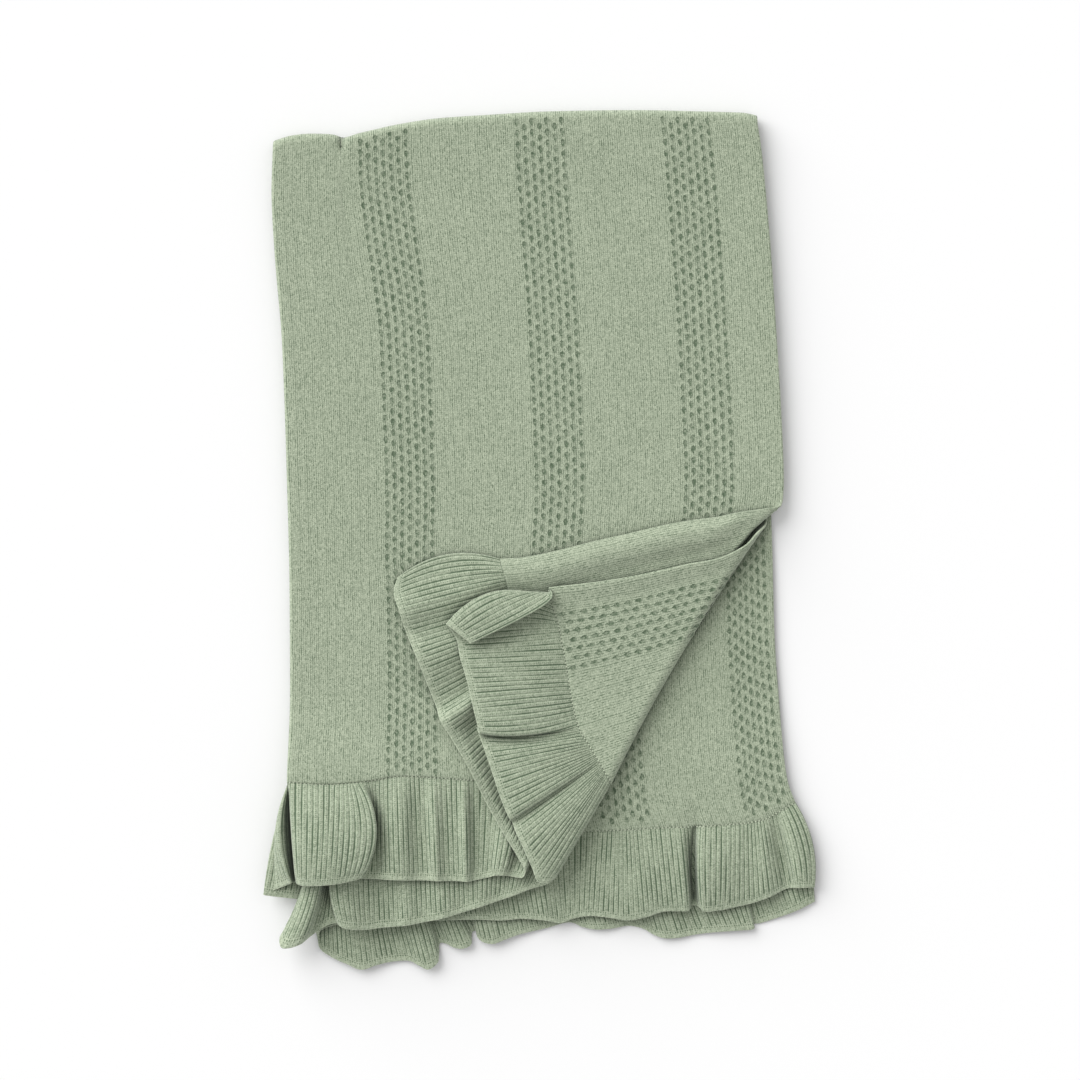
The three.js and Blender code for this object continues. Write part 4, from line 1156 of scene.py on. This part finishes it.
def rib_material():
    """Cotton rib: each ridge is a column of small V stitches, and open grooves show their rungs.
    The grooves are darkened with painted shade.
    """
    material, tree = new_material("cotton_one_by_one_rib")
    parts = add(tree, "ShaderNodeSeparateXYZ", (add(tree, "ShaderNodeUVMap", uv_map="knit")[0],))
    ribs = add(tree, "ShaderNodeMath", (parts[0], rib_pitch * metres), operation="DIVIDE")[0]
    courses = add(tree, "ShaderNodeMath", (parts[1], rib_course * metres), operation="DIVIDE")[0]
    courses = weighed(tree, courses, ((chance(tree, ribs, 0.0, 6.0), 0.5),))
    leg = off_middle(tree, ribs)
    beside = add(tree, "ShaderNodeMath", (ribs, 0.5), operation="ADD")[0]
    number = add(tree, "ShaderNodeMath", (beside,), operation="FLOOR")[0]
    along = add(tree, "ShaderNodeMath", (parts[1], grooves_per_metre), operation="MULTIPLY")[0]
    groove_at = add(tree, "ShaderNodeCombineXYZ", (number, along))[0]
    slack = {"Vector": groove_at, "Scale": slack_scale, "Detail": 0.0}
    slack = add(tree, "ShaderNodeTexNoise", slack)[0]
    slack = (slack, *slack_range)
    slack = add(tree, "ShaderNodeMapRange", slack, interpolation_type="SMOOTHSTEP")[0]
    bank = weighed(tree, bank_tight, ((slack, bank_slack),))
    groove = (leg, bank, groove_full)
    groove = add(tree, "ShaderNodeMapRange", groove, interpolation_type="SMOOTHSTEP")[0]
    row = add(tree, "ShaderNodeMath", (courses, 2 * math.pi), operation="MULTIPLY")[0]
    rung = add(tree, "ShaderNodeMath", (row,), operation="COSINE")[0]
    barred = add(tree, "ShaderNodeMath", (slack, rung), operation="MULTIPLY")[0]
    # Painted shade in the grooves: more in slack ones, less across their rungs.
    rib_groove_painted_shade = weighed(tree, tight_groove_painted_shade, ((slack, slack_groove_painted_shade), (barred, rung_less_shade)))
    middle = (leg, *dots_lie)
    middle = add(tree, "ShaderNodeMapRange", middle, interpolation_type="SMOOTHSTEP")[0]
    dots = (rung, *dots_show)
    dots = add(tree, "ShaderNodeMapRange", dots, interpolation_type="SMOOTHSTEP")[0]
    dots = add(tree, "ShaderNodeMath", (dots, middle), operation="MULTIPLY")[0]
    slanted = add(tree, "ShaderNodeMath", (leg, rib_slope, courses), operation="MULTIPLY_ADD")[0]
    loop = arches(tree, slanted)
    loose = chance(tree, ribs, slanted, 3.0)
    hem = (parts[1], (hem_line - 1.7) * metres, (hem_line - 0.5) * metres)
    hem = add(tree, "ShaderNodeMapRange", hem, interpolation_type="SMOOTHSTEP")[0]
    inner = add(tree, "ShaderNodeMath", (1.0, hem), operation="SUBTRACT")[0]
    groove = add(tree, "ShaderNodeMath", (groove, inner), operation="MULTIPLY")[0]
    along_hem = add(tree, "ShaderNodeMath", (ribs, 4 * math.pi), operation="MULTIPLY")[0]
    prick = add(tree, "ShaderNodeMath", (along_hem,), operation="COSINE")[0]
    prick = (prick, *pricks_show)
    prick = add(tree, "ShaderNodeMapRange", prick, interpolation_type="SMOOTHSTEP")[0]
    from_line = add(tree, "ShaderNodeMath", (parts[1], hem_line * metres), operation="SUBTRACT")[0]
    from_line = add(tree, "ShaderNodeMath", (from_line,), operation="ABSOLUTE")[0]
    on_line = (from_line, prick_half_width * metres)
    on_line = add(tree, "ShaderNodeMath", on_line, operation="LESS_THAN")[0]
    pricks = add(tree, "ShaderNodeMath", (on_line, prick), operation="MULTIPLY")[0]
    shaded = ((groove, rib_groove_painted_shade), (dots, 0.6), (loop, -0.1), (loose, 0.14), (pricks, 0.6), (hem, -0.06))
    shade = weighed(tree, rib_shade, shaded)
    yarn_surface(tree, dyed_yarn(tree, ribs, parts[1], shade), loop, rib_relief)
    return material


rib_yarn = rib_material()
front_ruffle, front_curve, front_run = ruffle("front_rib_ruffle", "front_ruffle", front_edge, True)
back_ruffle, back_curve, back_run = ruffle("back_rib_ruffle", "back_ruffle", back_edge, False)
for piece in (front_ruffle, back_ruffle):
    piece.data.materials.clear()
    piece.data.materials.append(rib_yarn)
    piece.data.polygons.foreach_set("material_index", [0] * len(piece.data.polygons))

# The cast-off edge and the seam stitches
# The ruffles end in a chain of cast-off loops, and a row of short stitches of the same yarn joins
# each to the panel. Both are laid on by a node tree, one loop at a time.

chain_pitch = 2.2
chain_share = 0.994
stitch_pitch = 2.4
stitch_lift = 0.6
look_ahead = 0.4
chain_steps = 5000
stitch_steps = 3000
twists_per_metre = 900.0
twist_relief = 0.1

# Rings of a loop of yarn: share of its length and how full it is there.
loop_rings = ((-0.5, 0.35), (-0.3, 0.85), (-0.05, 1.0), (0.25, 0.75), (0.5, 0.3))
loop_sides = 6


def yarn_loop(name, length, width, height):
    """A small closed loop of yarn, thicker towards one end, along y."""
    rings = []
    for share, full in loop_rings:
        ring = []
        for angle in np.arange(loop_sides) * 2 * math.pi / loop_sides:
            x, z = math.cos(angle) * width / 2, math.sin(angle) * height / 2
            ring.append((x * full, share * length, z * full))
        rings.append(ring)
    return bpy.data.objects.new(name, small_shape(name, rings))


def plain_yarn():
    """The same cotton yarn on its own, with the fine twist of its plies."""
    material, tree = new_material("plain_cotton_yarn")
    place = add(tree, "ShaderNodeTexCoord")["Object"]
    twists = {"Vector": place, "Scale": twists_per_metre, "Detail": 1.0}
    twist = add(tree, "ShaderNodeTexNoise", twists)[0]
    shade = add(tree, "ShaderNodeMath", (twist, 0.5, -0.2), operation="MULTIPLY_ADD")[0]
    parts = add(tree, "ShaderNodeSeparateXYZ", (place,))
    yarn_surface(tree, dyed_yarn(tree, parts[0], parts[1], shade), twist, twist_relief)
    return material


def row_of_loops(name, line, across, pitch, shape):
    """Lays loops of yarn end to end along a line of points."""
    run = run_along(line)
    count = int(round(run[-1] / pitch))
    at = (np.arange(count) + 0.5) * run[-1] / count
    spread = [np.interp(at, run, column) for column in np.concatenate([line, across], -1).T]
    places = np.stack(spread[:3], -1)
    ahead = np.stack([np.interp(at + look_ahead, run, column) for column in line.T], -1)
    vectors = {"along": unit(ahead - places), "across": unit(np.stack(spread[3:], -1))}
    row = laid_on_cloth(name, name + " along the cloth", places, vectors, shape, yarn_alone)
    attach(row, "root")
    return row


yarn_alone = plain_yarn()
cast_off_loop = yarn_loop("cast_off_loop", length=2.5, width=0.95, height=0.8)
seam_stitch = yarn_loop("seam_stitch", length=1.3, width=1.5, height=0.7)
for side, curve, rows in (("front", front_curve, front_edge), ("back", back_curve, back_edge)):
    front = side == "front"
    q = np.linspace(0, len(rows) - 1, chain_steps)
    g = np.full_like(q, chain_share)
    chain_line = ruffle_point(curve, front, q, g)
    chain_across = ruffle_normal(curve, front, q, g)
    chain = row_of_loops(side + "_cast_off_chain", chain_line, chain_across, chain_pitch, cast_off_loop)
    u = np.linspace(1, (panel_width if front else panel_end_width) - 1, stitch_steps)
    v = np.full_like(u, 0.0 if front else panel_length)
    seam_across = panel_normal(u, v)
    seam_line = panel_point(u, v) + seam_across * stitch_lift
    stitches = row_of_loops(side + "_seam_stitches", seam_line, seam_across, stitch_pitch, seam_stitch)

bpy.context.view_layer.update()

# Floor, light and camera
# A plain white table top under a wide, soft studio light, low from the upper left, in a pale room.
# It is seen from straight above. The white is matt, so it shows only a soft shadow.

table_reach = 3
table_white = "#F6F6F6"
light_strength = 3.1
light_spread = 60
light_way = (0.62, -0.6, -0.46)
room_strength = 0.62

r = table_reach
table_mesh = bpy.data.meshes.new("table_top")
table_mesh.from_pydata([(-r, -r, 0), (r, -r, 0), (r, r, 0), (-r, r, 0)], [], [(0, 1, 2, 3)])
table_top = bpy.data.objects.new("table_top", table_mesh)
bpy.context.scene.collection.objects.link(table_top)
white, tree = new_material("matt_white_table")
matt = {"Base Color": linear(table_white), "Roughness": 0.9}
surface = add(tree, "ShaderNodeBsdfPrincipled", matt)[0]
add(tree, "ShaderNodeOutputMaterial", {"Surface": surface})
table_mesh.materials.append(white)

sun = bpy.data.lights.new("studio_light", "SUN")
sun.energy = light_strength
sun.angle = math.radians(light_spread)
sun_object = bpy.data.objects.new("studio_light", sun)
sun_object.rotation_euler = Vector(light_way).to_track_quat("-Z", "Y").to_euler()
bpy.context.scene.collection.objects.link(sun_object)
world = bpy.data.worlds.new("studio_room")
world.use_nodes = True
room = world.node_tree.nodes["Background"].inputs
room["Color"].default_value = linear("#FFFFFF")
room["Strength"].default_value = room_strength
bpy.context.scene.world = world
bpy.context.scene.view_settings.view_transform = "Standard"

# The field is the width that the picture shows at the given height above the table, in metres.
field = 0.6966
field_height = 0.010
lens = 100
sensor = 36
camera = bpy.data.cameras.new("overhead_camera")
camera.lens = lens
camera.sensor_width = sensor
camera.clip_end = 20
camera_object = bpy.data.objects.new("overhead_camera", camera)
camera_object.location = (0, 0, field_height + field * lens / sensor)
bpy.context.scene.collection.objects.link(camera_object)
bpy.context.scene.camera = camera_object
